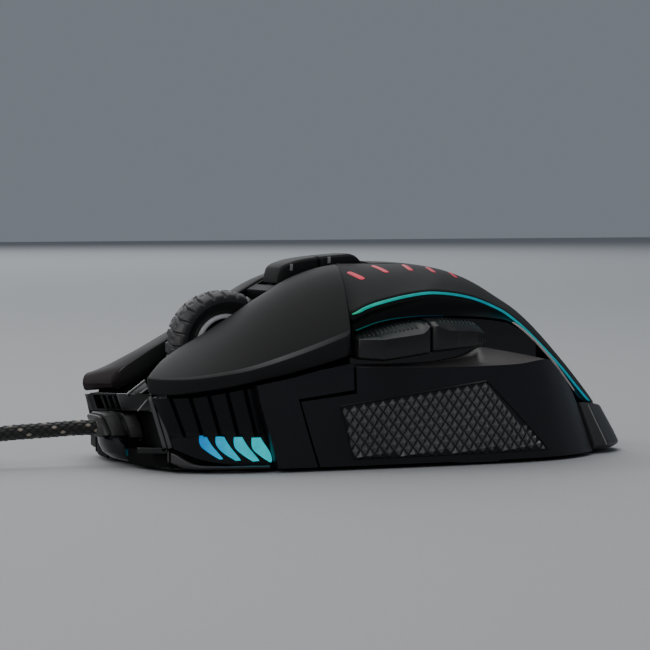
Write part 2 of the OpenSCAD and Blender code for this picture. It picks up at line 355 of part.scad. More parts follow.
// height of the top surface near the crown at x, y on the thumb side
function roof(x, y) = x < 0.62 * (y + 6.4)
  ? let (v = (-y - 6.4) / 23.8) sm(mix(x, x, v) + 15 * v, col(LI, 2)) - (sm(x + 15 * v, col(LI, 2)) - 28.9) * pow(v, 2.3) * 0.9
  : let (u = (x + 0.6 * max(0, -y - 6.4)) / 57.5, xe = mix(-12.8, 50.5, u)) sm(mix(0.1, 57.5, u), ZC) - (sm(mix(0.1, 57.5, u), ZC) - sm(xe, col(LE, 2))) * pow(-y / abs(sm(xe, col(LE, 1))), 2.3);

// ---- thumb buttons ----
module side_key(face, prof, px0, px1, zt0, zt1, cx) {
  intersection() {
    translate([0, 0, 20]) linear_extrude(14) polygon(face);
    translate([0, -24, 0]) rotate([90, 0, 0]) linear_extrude(9) polygon(prof);
    translate([px0, 0, 0]) rotate([90, 0, 90]) linear_extrude(px1 - px0) polygon([[-32.4, 20], [-32.4, zt0], [-25.5, zt1], [-25.5, 20]]);
  }
  translate([cx, -25.6, 27.5]) rotate([-90, 0, 0]) cylinder(h = 2.5, r = 1.6, $fn = 48);
}
module forward_side_button() color("#1e1e20") side_key(
  [[-13.6, -25.5], [-13.6, -30], [-12.4, -31.2], [-7.8, -31.9], [3, -31.7], [3, -25.5]],
  [[-13.6, 23.2], [-12, 22.8], [-7.8, 22.6], [3, 24.1], [3, 31.6], [-3, 31.2], [-9, 29.8], [-13.6, 28]], -14, 4, 28.2, 31.5, -5.5);
module back_side_button() color("#1e1e20") side_key(
  [[3.5, -25.5], [3.5, -30.9], [4.6, -31.7], [8.4, -31.5], [13.5, -30.8], [17.4, -29.2], [17.8, -25.5]],
  [[3.5, 24.3], [13, 25.1], [17.6, 26], [17.8, 29], [17, 30], [13, 31.1], [8, 31.7], [3.5, 31.6]], 3, 18, 29.8, 31.4, 11);
module side_button_board() color("#1f5a34") {
  translate([-13, -19.6, 21]) cube([30, 1.2, 9.6]);
  for (x = [-5.5, 11]) difference() {
    translate([x - 3, -22.8, 24.5]) cube([6, 3.2, 6]);
    translate([x, -21, 27.5]) rotate([90, 0, 0]) cylinder(h = 3, r = 2, $fn = 32);
  }
}

// ---- scroll wheel ----
wx = -32.6; wz = 25.2;
module y_at(y) translate([wx, y, wz]) rotate([-90, 0, 0]) children();
module wheel_axle() color("#c8cacc") y_at(-10) cylinder(h = 17.2, r = axle_r, $fn = 64);
module wheel_hub() color("#26262a") y_at(0) difference() {
  rotate_extrude($fn = 96) polygon([[axle_r + 0.02, -4.9], [3.2, -4.9], [3.2, -3], [8.6, -3], [8.6, -3.4], [9.4, -3.4], [9.4, 3.4], [8.6, 3.4], [8.6, 3], [3.2, 3], [3.2, 4.9], [axle_r + 0.02, 4.9]]);
  for (a = [0:45:315]) rotate([0, 0, a]) translate([5.8, 0, -5]) cylinder(h = 10, r = 1.3, $fn = 24);
}
module wheel_rim_ring() color("#d8dadc") for (sg = [-1, 1]) y_at(sg * 3.95) rotate_extrude($fn = 96) polygon([[6.7, -0.8], [8.3, -0.8], [8.3, 0.5], [7.9, 0.8], [7.1, 0.8], [6.7, 0.5]]);
module wheel_tyre() color("#1c1c1e") y_at(0) rotate_extrude($fn = 96)
  polygon([[9.45, -wheel_w / 2 + 0.8], [10.2, -wheel_w / 2], [11, -wheel_w / 2], [11.9, -wheel_w / 2 + 0.7], [wheel_r, -wheel_w / 2 + 2], [wheel_r, wheel_w / 2 - 2], [11.9, wheel_w / 2 - 0.7], [11, wheel_w / 2], [10.2, wheel_w / 2], [9.45, wheel_w / 2 - 0.8]]);
module wheel_carrier() color("#e4e2dc") difference() {
  union() {
    translate([-42.6, -6.4, 10.8]) cube([20, 12.8, 1.4]);
    for (y = [-6.5, 5.3]) {
      translate([-35.8, y, 10.8]) cube([6.4, 1.2, 14.6]);
      translate([wx, y + 1.2, wz]) rotate([90, 0, 0]) cylinder(h = 1.2, r = 2.6, $fn = 64);
    }
    translate([-32.6, 0, 9.4]) cylinder(h = 2, r = 1.1, $fn = 32);
  }
  y_at(-9) cylinder(h = 18, r = axle_r + run_c, $fn = 64);
  for (x = [-40.4, -24.8]) translate([x, 0, 10]) cylinder(h = 4, r = 1.3, $fn = 32);
}
module wheel_encoder() color("#3b4a6b") difference() {
  translate([-35.4, -10.2, 18]) cube([5.6, 3.6, 9.5]);
  y_at(-12) cylinder(h = 8, r = axle_r + run_c, $fn = 64);
}
module wheel_guide_posts() color("#1a1a1c") for (x = [-40.4, -24.8]) translate([x, 0, 6.6]) cylinder(h = 6.6, r = 1.2, $fn = 32);
module middle_switch() color("#202022") difference() {
  translate([-35.6, -3, 6.6]) cube([6, 6, 2.8]);
  translate([wx, 0, 8]) cylinder(h = 3, r = 1.4, $fn = 32);
}
module main_switches() color("#202022") for (y = [-14.3, 15]) difference() {
  translate([-49.5, y - 2.9, 6.6]) cube([12.8, 5.8, 6.4]);
  translate([-44, y, 11.6]) cylinder(h = 3, r = 1.4, $fn = 32);
}

// ---- base, board and fasteners ----
BO = [[-55, 0], [-54.6, 10], [-53, 17], [-50, 21.6], [-45, 24.6], [-38, 26.6], [-28, 28.6], [-14, 29.6], [0, 29.8], [15, 29.4], [26, 28], [36, 25.4], [43, 22], [48, 17.6], [54, 11.6], [57, 6], [57.9, 0]];
module base_plate() color("#1a1a1b") difference() {
  union() {
    translate([0, 0, 0.75]) linear_extrude(1.9) polygon(concat(BO, [for (i = [len(BO) - 2:-1:1]) [BO[i][0], -BO[i][1] * (BO[i][0] < 40 ? 0.97 : 0.93)]]));
    for (p = [[-48, 8], [-20, -17], [-20, 17], [26, 0]]) translate([p[0], p[1], 2]) cylinder(h = 3, r = 2.4, $fn = 48);
    translate([-21, -25.6, 2.2]) cube([52, 1.2, 14.4]);
    translate([38, -13, 2.2]) cube([1.6, 26, 5]);
  }
  translate([-2, 0, -1]) cylinder(h = 8, r = 4.6, $fn = 64);
  for (p = [[-48, 8], [-20, -17], [-20, 17], [26, 0]]) translate([p[0], p[1], 2.9]) cylinder(h = 3, r = 0.85, $fn = 32);
  for (p = [[-2, -15], [-2, 15], [34, -11.6], [34, 11.6]]) translate([p[0], p[1], 0]) { cylinder(h = 5, r = 1.2, $fn = 32); cylinder(h = 1.9, r = 2.2, $fn = 32); }
}
module pad_strip(x0, x1, y0, y1, r) {
  translate([x0 + r, y0, 0]) cube([x1 - x0 - 2 * r, y1 - y0, skate_t]);
  translate([x0, y0 + r, 0]) cube([x1 - x0, y1 - y0 - 2 * r, skate_t]);
  for (x = [x0 + r, x1 - r]) for (y = [y0 + r, y1 - r]) translate([x, y, 0]) cylinder(h = skate_t, r = r, $fn = 48);
}
module glide_pads() color("#c9c7c2") {
  pad_strip(-51, -43, -16, 16, 3.5);
  pad_strip(42, 50, -11, 11, 3.5);
  for (y = [-25.5, 19.5]) pad_strip(12, 24, y, y + 6, 2.6);
}
module case_screws() color("#9ea1a5") for (p = [[-2, -15], [-2, 15], [34, -11.6], [34, 11.6]]) translate([p[0], p[1], 0.8]) {
  difference() { cylinder(h = 1, r = 2, $fn = 48); translate([0, 0, -0.5]) cylinder(h = 1, r = 0.8, $fn = 6); }
  cylinder(h = 8, r = 0.9, $fn = 32);
}
module main_board() color("#1f5a34") difference() {
  translate([0, 0, 5]) linear_extrude(1.6) polygon([[-51.5, -19], [-30, -21], [-24, -21.5], [-6, -21.5], [-6, -12], [30, -10], [37, -4], [37, 4], [30, 10], [-6, 12], [-6, 21.5], [-24, 21.5], [-30, 21], [-51.5, 19]]);
  for (p = [[-48, 8], [-20, -17], [-20, 17], [26, 0]]) translate([p[0], p[1], 4]) cylinder(h = 4, r = 1.1, $fn = 32);
  for (x = [-40.4, -24.8]) translate([x, 0, 4]) cylinder(h = 4, r = 0.9, $fn = 32);
}
module board_screws() color("#9ea1a5") for (p = [[-48, 8], [-20, -17], [-20, 17], [26, 0]]) translate([p[0], p[1], 0]) {
  translate([0, 0, 6.6]) difference() { cylinder(h = 1.1, r = 1.9, $fn = 48); translate([0, 0, 0.6]) cylinder(h = 1, r = 0.8, $fn = 6); }
  translate([0, 0, 3.2]) cylinder(h = 3.6, r = 0.8, $fn = 32);
}
module sensor_chip() color("#0b0b0c") translate([-8, -5, 3.6]) cube([12, 10, 1.4]);
module sensor_lens() color("#cfe3ea") translate([-2, 0, 0]) {
  translate([0, 0, 1.3]) cylinder(h = 1.5, r = 2.4, $fn = 48);
  translate([0, 0, 2.75]) cylinder(h = 0.8, r = 6, $fn = 48);
}
module cable_socket() color("#e8e4da") translate([-50.6, -4, 6.6]) cube([4.4, 8, 3]);

// ---- cable, put away in a coil beyond the nose ----
CX = -123; CY = 20;
route = [[-61.8, 0, 8.3], [-66, 0, 8.3], [-71, 0, 8.1], [-76, 0, 7.9], [-81, 0, 7.7], [-85, 0, 7.2], [-89, 0, 6.2], [-93, -0.2, 4.8], [-97, -0.6, 3.6],
  [-101, -1.3, 2.8], [-105, -2.2, 2.4], [-109, -2.8, 2.4], [-114, -3.2, 2.4]];
function along(P, t) = let (i = min(floor(t), len(P) - 2), k = t - i, a = P[max(i - 1, 0)], b = P[i], c = P[i + 1], d = P[min(i + 2, len(P) - 1)])
  0.5 * (2 * b + (c - a) * k + (2 * a - 5 * b + 4 * c - d) * k * k + (3 * b - a - 3 * c + d) * k * k * k);
module cable_cord() color("#1b1a1a") {
  n = 24;
  rings = [for (i = [0:n]) let (t = i * (len(route) - 1) / n, p = along(route, t), q = along(route, min(t + 0.05, len(route) - 1)) - along(route, max(t - 0.05, 0)),
    d = q / norm(q), s = cross(d, [0, 0, 1]) / norm(cross(d, [0, 0, 1])), w = cross(s, d), r = cable_d / 2)
    [for (a = [0:45:315]) p + s * (r * cos(a)) + w * (r * sin(a))]];
  loft(rings, true);
}
module cable_coil() color("#1b1a1a") translate([CX, CY, 0.8]) rotate_extrude($fn = 96)
  polygon([[coil_r - 6.8, 2], [coil_r - 5, 0], [coil_r + 5, 0], [coil_r + 6.8, 2], [coil_r + 6.8, coil_h - 2], [coil_r + 5, coil_h], [coil_r - 5, coil_h], [coil_r - 6.8, coil_h - 2]]);
module coil_tie() color("#161616") translate([CX, CY, 0]) rotate([0, 0, 30]) translate([coil_r, 0, 0]) difference() {
  translate([-8.1, -3.5, 0]) cube([16.2, 7, coil_h + 1.6]);
  translate([-7.5, -5, 0.7]) cube([15, 10, coil_h + 0.2]);
}
// plug lying on the coil: y runs from the cable end to the contacts
px = CX - 13; py = CY - 6; pz = coil_h + 0.8 + 3.9;
module usb_plug_body() color("#1d1d1e") {
  translate([px, py, pz]) rotate([-90, 0, 0]) cylinder(h = 6.5, r1 = 2.1, r2 = 3, $fn = 48);
  difference() {
    translate([px - 7.4, py + 6, pz - 3.8]) cube([14.8, 17, 7.6]);
    for (sx = [-7.4, 7.4]) for (i = [0:2]) translate([px + sx, py + 10 + i * 3, pz - 5]) cylinder(h = 10, r = 0.5, $fn = 24);
  }
}
module usb_plug_shell() color("#c4c6c9") translate([px, py + 23, pz]) {
  difference() {
    translate([-6, 0, -2.25]) cube([12, 11.8, 4.5]);
    translate([-5.7, 0.6, -1.95]) cube([11.4, 12, 3.9]);
    for (x = [-3, 3]) translate([x - 1, 4.5, 1]) cube([2, 2, 3]);
  }
  translate([-5.2, 0.5, -1.9]) cube([10.4, 10.4, 1.8]);
}

base_plate();
glide_pads();
case_screws();
front_bumper();
front_chin();
front_nose();
front_bezel();
front_grille_left();
front_grille_right();
front_light_guide_left();
front_light_guide_right();
front_side_panel_left();
right_side_panel();
right_grip_pad();
side_grip_panel();
thumb_shelf();
side_grip_pad();
grip_magnets();
grip_magnet_plates();
palm_shell();
palm_band_left();
palm_light_strip_left();
palm_light_strip_right();
thumb_recess_wall();
tail_bumper();
left_button();
left_button_arm();
right_button();
right_button_arm();
top_frame();
hinge_pins();
centre_spine();
dpi_up_button();
dpi_down_button();
dpi_board();
dpi_indicator_lens();
forward_side_button();
back_side_button();
side_button_board();
main_board();
board_screws();
main_switches();
middle_switch();
wheel_guide_posts();
wheel_carrier();
wheel_encoder();
wheel_axle();
wheel_hub();
wheel_rim_ring();
wheel_tyre();
sensor_chip();
sensor_lens();
cable_socket();
cable_boot();
cable_cord();
cable_coil();
coil_tie();
usb_plug_body();
usb_plug_shell();
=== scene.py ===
import math, random
import bpy, bmesh
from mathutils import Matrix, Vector


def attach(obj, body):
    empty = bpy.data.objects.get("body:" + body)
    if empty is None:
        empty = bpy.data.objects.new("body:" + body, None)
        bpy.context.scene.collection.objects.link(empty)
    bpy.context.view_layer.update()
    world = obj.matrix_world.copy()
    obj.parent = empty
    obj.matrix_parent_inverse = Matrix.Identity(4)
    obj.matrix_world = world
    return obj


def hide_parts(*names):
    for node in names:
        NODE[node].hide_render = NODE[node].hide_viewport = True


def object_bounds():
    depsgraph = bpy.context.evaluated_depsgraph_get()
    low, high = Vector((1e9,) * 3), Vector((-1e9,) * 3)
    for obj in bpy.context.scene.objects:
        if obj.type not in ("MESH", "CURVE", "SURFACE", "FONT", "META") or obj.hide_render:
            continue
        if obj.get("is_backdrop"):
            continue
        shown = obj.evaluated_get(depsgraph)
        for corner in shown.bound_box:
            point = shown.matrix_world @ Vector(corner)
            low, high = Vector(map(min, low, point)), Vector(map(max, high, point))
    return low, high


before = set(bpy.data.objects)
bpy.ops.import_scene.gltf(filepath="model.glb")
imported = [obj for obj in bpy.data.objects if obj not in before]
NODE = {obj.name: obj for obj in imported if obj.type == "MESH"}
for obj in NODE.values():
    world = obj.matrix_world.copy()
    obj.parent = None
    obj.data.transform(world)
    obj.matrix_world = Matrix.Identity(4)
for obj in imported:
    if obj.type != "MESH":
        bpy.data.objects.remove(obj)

LO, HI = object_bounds()
CAD_BOX = [list(LO), list(HI)]
S = 0.001                      # pieces are laid out in millimetres and stored in metres
PI = math.pi

# ------------------------------------------------------------------ camera
cam_data = bpy.data.cameras.new("camera")
cam_data.sensor_width = 36.0
cam_data.lens = 169.2
cam_data.clip_start, cam_data.clip_end = 0.05, 30.0
cam = bpy.data.objects.new("camera", cam_data)
bpy.context.scene.collection.objects.link(cam)
cam.location = (-0.28236, -0.61694, 0.05956)
YAW, PITCH = math.radians(24.0), math.radians(2.57)
look = Vector((math.sin(YAW) * math.cos(PITCH), math.cos(YAW) * math.cos(PITCH), -math.sin(PITCH)))
cam.rotation_mode = "QUATERNION"
cam.rotation_quaternion = look.to_track_quat("-Z", "Y")
bpy.context.scene.camera = cam


# ------------------------------------------------------------------ small maths
def mix(a, b, t):
    return a + (b - a) * t


def mixp(a, b, t):
    return tuple(a[k] + (b[k] - a[k]) * t for k in range(3))


def clamp(x, a=0.0, b=1.0):
    return max(a, min(b, x))


def smooth(x, a, b):
    t = clamp((x - a) / (b - a))
    return t * t * (3 - 2 * t)


def sm(x, t):
    """smooth table: [x, value] rows with a cubic between them"""
    x = clamp(x, t[0][0], t[-1][0])
    i = 0
    while i < len(t) - 2 and x >= t[i + 1][0]:
        i += 1

    def slope(k):
        if k == 0:
            return (t[1][1] - t[0][1]) / (t[1][0] - t[0][0])
        if k == len(t) - 1:
            return (t[k][1] - t[k - 1][1]) / (t[k][0] - t[k - 1][0])
        return (t[k + 1][1] - t[k - 1][1]) / (t[k + 1][0] - t[k - 1][0])

    h = t[i + 1][0] - t[i][0]
    u = (x - t[i][0]) / h
    a, b = slope(i) * h, slope(i + 1) * h
    return (t[i][1] * (2 * u ** 3 - 3 * u * u + 1) + a * (u ** 3 - 2 * u * u + u)
            + t[i + 1][1] * (3 * u * u - 2 * u ** 3) + b * (u ** 3 - u * u))


def col(t, k):
    return [(r[0], r[k]) for r in t]


def steps(n):
    return [i / n for i in range(n + 1)]


def arr(v):
    return Vector(v)


# ------------------------------------------------------------------ the design's own tables, as in part.scad
LC = [[-59, -24, 20.2], [-55, -26.4, 20], [-50, -27.9, 20.1], [-44, -28.6, 20.7], [-38, -29.1, 21.6],
      [-31, -29.5, 23.4], [-24, -30, 25.6], [-15, -30.4, 28.8]]
LI = [[-50, -11, 23.3], [-47, -9.6, 24.9], [-44, -8.5, 26.3], [-39.5, -7.6, 28.5], [-35, -7.1, 31],
      [-31.5, -7, 33.1], [-28.5, -6.9, 35], [-24, -6.7, 37.5], [-20, -6.5, 39.7], [-16, -6.4, 41.2],
      [-12, -6.4, 42.3], [-7, -6.4, 43], [0, -6.4, 43.4]]
RC = [[-57, 22, 18.4], [-54, 25.4, 18.5], [-50, 28, 18.8], [-44, 30, 19.3], [-38, 31.2, 20.1],
      [-31, 32, 21.2], [-24, 32.4, 22.3], [-15, 32.6, 23.6]]
RI = [[-53, 13.5, 18.8], [-50, 11.5, 20.9], [-46, 9, 24], [-43, 7.8, 26], [-39.5, 7.3, 28.2],
      [-35, 7.1, 30.8], [-31.5, 7, 33], [-28.5, 6.9, 35], [-24, 6.7, 37.5], [-20, 6.5, 39.7],
      [-16, 6.4, 41.2], [-12, 6.4, 42.3], [-7, 6.4, 43], [0, 6.4, 43.4]]
LSK = [[-59, 3.5], [-55, 3.4], [-50, 3], [-44, 2.9], [-38, 2.8], [-31, 3.3], [-24, 3.9], [-15, 4.7]]
RSK = [[-57, 3.3], [-50, 3.2], [-38, 3], [-15, 3]]
ZC = [[0, 43.4], [9, 43], [17, 41.9], [22, 40.5], [26.5, 38.5], [31, 35.7], [36, 32.3], [40.5, 28.5],
      [45, 24.4], [50, 19.3], [54.5, 14.3], [57.5, 10.6]]
LE = [[-13, -26.6, 33.2], [-10, -26.2, 34.6], [-6.5, -25.7, 35.6], [1, -24.6, 37], [7.5, -23.9, 37.5],
      [16.5, -23, 36.3], [24.5, -21.6, 33.5], [28.5, -20.8, 31.2], [32.5, -20, 28.3], [41.5, -17.7, 20.7],
      [46, -16.5, 16.3], [50.5, -15, 12.2]]
RE = [[-15, 32.6, 23.6], [-5, 32.5, 24.5], [5, 32.2, 24.5], [15, 31.2, 23.3], [25, 29.4, 21.1],
      [33, 27, 18.4], [40, 24, 15.4], [45, 21.4, 13.2], [49, 18.8, 11.6]]
LB = [[-12, -25.4, 29.1], [-6, -24.9, 30.9], [1.5, -24.4, 31.8], [9, -24.2, 31.9], [16, -24.1, 31.7],
      [21, -24, 31.3], [26, -24, 30.3], [31, -23.6, 26.9], [37, -22, 21.8], [42, -19.9, 17], [46, -18.2, 12.9]]
LW = [[0, -38, -31.4, -38, -30.2], [0.15, -28, -32.2, -28, -30.6], [0.3, -14, -32.5, -14, -30.6],
      [0.45, 0, -32.4, 0, -30.4], [0.6, 15, -32, 14, -29.9], [0.7, 26, -31.1, 24, -28.9],
      [0.8, 36, -28.6, 31.5, -26.6], [0.88, 44, -24.2, 36.4, -23.2], [0.95, 50, -18.8, 41, -18.4],
      [1, 52.5, -15, 43, -15.4]]
RW = [[0, -38, 31.2, -38, 30.6], [0.15, -28, 32.2, -28, 31.6], [0.3, -14, 33, -14, 32.2],
      [0.45, 0, 33.3, 0, 32.2], [0.6, 15, 33, 14, 31.2], [0.7, 26, 31.8, 23, 30],
      [0.8, 36, 29.4, 31, 28], [0.88, 43, 25.8, 36, 25.4], [0.95, 49, 21.2, 41.5, 22],
      [1, 52, 18.2, 44, 19.6]]
TL = [[0, 50.9, -18.1, 46.7, -17.8], [0.12, 55, -14.8, 50.8, -15], [0.25, 58.8, -11, 54.4, -11.6],
      [0.37, 61.1, -6.4, 56.8, -7], [0.5, 61.8, -0.5, 57.8, -1], [0.63, 61.2, 5.6, 57.2, 5],
      [0.75, 59, 10.8, 55, 10], [0.88, 55.4, 15, 51.4, 14.8], [1, 51.4, 18.9, 47.9, 18.5]]
WI = [[-53, 3.6], [-44, 4.2], [-40, 2.6], [-36, 2.2], [0, 2.2]]
FG = [[-58.5, -22.4], [-55, -24.6], [-50, -26.5], [-44, -27.6], [-38, -28.4], [-33, -28.9]]
NX = [[0, -59.6], [6, -59.4], [12, -58.7], [17, -57.7], [20, -56.8], [23, -55.6]]
BP = [[0, -34, 31, 1.6, 0.9], [1, -40, 30.2, 1.65, 0.9], [2, -45, 28.9, 1.7, 0.9], [3, -49.5, 26.9, 2.1, 0.9],
      [4, -53, 24.7, 4.3, 1.6], [5, -55.7, 22, 5.6, 2.6], [6, -57.4, 17, 5.7, 2.8], [7, -58.4, 12, 5.7, 2.8],
      [8, -59, 7, 5.7, 2.8]]
SP = [[-24, 37.3], [-20, 39.4], [-16, 40.9], [-12, 42], [-7, 42.7], [0, 43.1]]
PADL = [[-18.3, 13.7], [17.0, 18.2], [32.9, 2.5], [-15.8, 2.2]]
PADR = [[-24, 16], [14, 18], [30, 3.2], [-19, 2.6]]
SHELL_T = 1.6


def key_pt(u, v, I, O, xi0, xo0, p0, p1, seam=0.12):
    xi, xo = mix(xi0, -8 - seam, u), mix(xo0, -15 - seam, u)
    yi, zi, yo, zo = sm(xi, col(I, 1)), sm(xi, col(I, 2)), sm(xo, col(O, 1)), sm(xo, col(O, 2))
    return (mix(xi, xo, v), mix(yi, yo, v), zi - (zi - zo) * v ** mix(p0, p1, u))


def left_key(u, v):
    return key_pt(u, v, LI, LC, -50, -59, 1.5, 2.3)


def right_key(u, v):
    return key_pt(u, v, RI, RC, -53, -57, 1.5, 2.2)


def palm_h(v, u, w, k):
    a = abs(v)
    return mix(0 if a < 6.4 / w else mix(k, 1, (a - 6.4 / w) / (1 - 6.4 / w)), a * a, min(1, 6 * u))


def palm(u, v):
    xc = mix(0.1, 57.5, u)
    left = v < 0
    xe = mix(-13.9, 50.5, u) if left else mix(-15, 49, u)
    ye = sm(xe, col(LE, 1)) if left else sm(xe, col(RE, 1))
    ze = sm(xe, col(LE, 2)) if left else sm(xe, col(RE, 2))
    w = abs(ye)
    zc = sm(xc, ZC)
    a = abs(v)
    return (xc + (xe - xc) * palm_h(v, u, 26.6 if left else 32.6, 0.575 if left else 0.535), ye * a,
            zc - (zc - ze) * a ** (2.3 if left else 2.2))


def wall(W, s, z):
    return (mix(sm(s, col(W, 1)), sm(s, col(W, 3)), z / 24), mix(sm(s, col(W, 2)), sm(s, col(W, 4)), z / 24), z)


def s_of(W, x):
    if x < -28: return mix(0, 0.15, (x + 38) / 10)
    if x < -14: return mix(0.15, 0.3, (x + 28) / 14)
    if x < 0: return mix(0.3, 0.45, (x + 14) / 14)
    return mix(0.45, 0.6, x / 14.6)


def s_of2(W, x, z):
    a, b = 0.0, 0.9
    for _ in range(22):
        c = (a + b) / 2
        if wall(W, c, z)[0] < x: a = c
        else: b = c
    return (a + b) / 2


def tp(s, z):
    return (mix(sm(s, col(TL, 1)), sm(s, col(TL, 3)), z / 11), mix(sm(s, col(TL, 2)), sm(s, col(TL, 4)), z / 11), z)


# ------------------------------------------------------------------ materials
def new_mat(name):
    m = bpy.data.materials.new(name)
    m.use_nodes = True
    nt = m.node_tree
    nt.nodes.clear()
    out = nt.nodes.new("ShaderNodeOutputMaterial")
    b = nt.nodes.new("ShaderNodeBsdfPrincipled")
    nt.links.new(b.outputs[0], out.inputs[0])
    return m, nt, b


def node(nt, kind, **kw):
    n = nt.nodes.new(kind)
    for k, v in kw.items():
        if k.startswith("_"):
            setattr(n, k[1:], v)
        else:
            n.inputs[k.replace("__", " ")].default_value = v
    return n


def moulded(name, base, rough, vary=0.12, rvary=0.06, grain=2600.0, bump=0.05, spec=0.5, metal=0.0, coat=0.0, coat_rough=0.1,
            tint=None, blotch=60.0, sheen=0.0, scratch=0.0, speck=0.0, speck_scale=1500.0):
    """moulded plastic, rubber or metal: colour drifts slowly over the surface, a fine grain breaks up the gloss"""
    m, nt, b = new_mat(name)
    tc = node(nt, "ShaderNodeTexCoord")
    big = node(nt, "ShaderNodeTexNoise", Scale=blotch, Detail=4.0, Roughness=0.6)
    fine = node(nt, "ShaderNodeTexNoise", Scale=grain, Detail=3.0, Roughness=0.65)
    nt.links.new(tc.outputs["Object"], big.inputs["Vector"])
    nt.links.new(tc.outputs["Object"], fine.inputs["Vector"])
    ramp = nt.nodes.new("ShaderNodeValToRGB")
    lo = [c * (1 - vary) for c in base]
    hi = [c * (1 + vary) for c in (tint or base)]
    ramp.color_ramp.elements[0].position, ramp.color_ramp.elements[1].position = 0.3, 0.7
    ramp.color_ramp.elements[0].color = (*lo, 1)
    ramp.color_ramp.elements[1].color = (*hi, 1)
    nt.links.new(big.outputs["Fac"], ramp.inputs["Fac"])
    colour = ramp.outputs["Color"]
    if speck:
        sp = node(nt, "ShaderNodeTexNoise", Scale=speck_scale, Detail=2.0, Roughness=0.5)
        nt.links.new(tc.outputs["Object"], sp.inputs["Vector"])
        mr = node(nt, "ShaderNodeMapRange")
        for k, v in (("From Min", 0.58), ("From Max", 0.72), ("To Min", 0.0), ("To Max", speck)):
            mr.inputs[k].default_value = v
        nt.links.new(sp.outputs["Fac"], mr.inputs["Value"])
        mx = nt.nodes.new("ShaderNodeMixRGB")
        mx.inputs["Color2"].default_value = (*[min(1, c * 3 + 0.02) for c in base], 1)
        nt.links.new(mr.outputs["Result"], mx.inputs["Fac"])
        nt.links.new(colour, mx.inputs["Color1"])
        colour = mx.outputs["Color"]
    nt.links.new(colour, b.inputs["Base Color"])
    mr = node(nt, "ShaderNodeMapRange")
    for k, v in (("From Min", 0.25), ("From Max", 0.75), ("To Min", max(0.02, rough - rvary)), ("To Max", rough + rvary)):
        mr.inputs[k].default_value = v
    nt.links.new(big.outputs["Fac"], mr.inputs["Value"])
    nt.links.new(mr.outputs["Result"], b.inputs["Roughness"])
    bp = node(nt, "ShaderNodeBump", Strength=bump, Distance=0.0001)
    nt.links.new(fine.outputs["Fac"], bp.inputs["Height"])
    nt.links.new(bp.outputs["Normal"], b.inputs["Normal"])
    b.inputs["Specular IOR Level"].default_value = spec
    b.inputs["Metallic"].default_value = metal
    if coat:
        b.inputs["Coat Weight"].default_value = coat
        b.inputs["Coat Roughness"].default_value = coat_rough
    if sheen:
        b.inputs["Sheen Weight"].default_value = sheen
        b.inputs["Sheen Roughness"].default_value = 0.5
    return m


def glow(name, c0, c1, axis, a, b_, strength, base=None, mid=None):
    """glowing colour, for a lit light guide or for painted light and painted reflections: colour runs from c0 at
    coordinate a to c1 at b_ along an axis, metres, with faint unevenness
    """
    m, nt, b = new_mat(name)
    tc = node(nt, "ShaderNodeTexCoord")
    sep = node(nt, "ShaderNodeSeparateXYZ")
    nt.links.new(tc.outputs["Object"], sep.inputs[0])
    mr = node(nt, "ShaderNodeMapRange")
    mr.inputs["From Min"].default_value, mr.inputs["From Max"].default_value = a, b_
    nt.links.new(sep.outputs["XYZ".index(axis)], mr.inputs["Value"])
    ramp = nt.nodes.new("ShaderNodeValToRGB")
    ramp.color_ramp.elements[0].color, ramp.color_ramp.elements[1].color = (*c0, 1), (*c1, 1)
    if mid:
        for pos, c in mid:
            e = ramp.color_ramp.elements.new(pos)
            e.color = (*c, 1)
    nt.links.new(mr.outputs["Result"], ramp.inputs["Fac"])
    noise = node(nt, "ShaderNodeTexNoise", Scale=500.0, Detail=2.0)
    nt.links.new(tc.outputs["Object"], noise.inputs["Vector"])
    m2 = node(nt, "ShaderNodeMapRange")
    for k, v in (("From Min", 0.3), ("From Max", 0.7), ("To Min", 0.86), ("To Max", 1.08)):
        m2.inputs[k].default_value = v
    nt.links.new(noise.outputs["Fac"], m2.inputs["Value"])
    mul = node(nt, "ShaderNodeVectorMath", _operation="SCALE")
    nt.links.new(ramp.outputs["Color"], mul.inputs[0])
    nt.links.new(m2.outputs["Result"], mul.inputs["Scale"])
    dim = node(nt, "ShaderNodeVectorMath", _operation="SCALE", Scale=0.15)
    nt.links.new(mul.outputs[0], dim.inputs[0])
    nt.links.new(dim.outputs[0], b.inputs["Base Color"])
    nt.links.new(mul.outputs[0], b.inputs["Emission Color"])
    b.inputs["Emission Strength"].default_value = strength
    b.inputs["Roughness"].default_value = 0.4
    b.inputs["Specular IOR Level"].default_value = 0.2
    return m


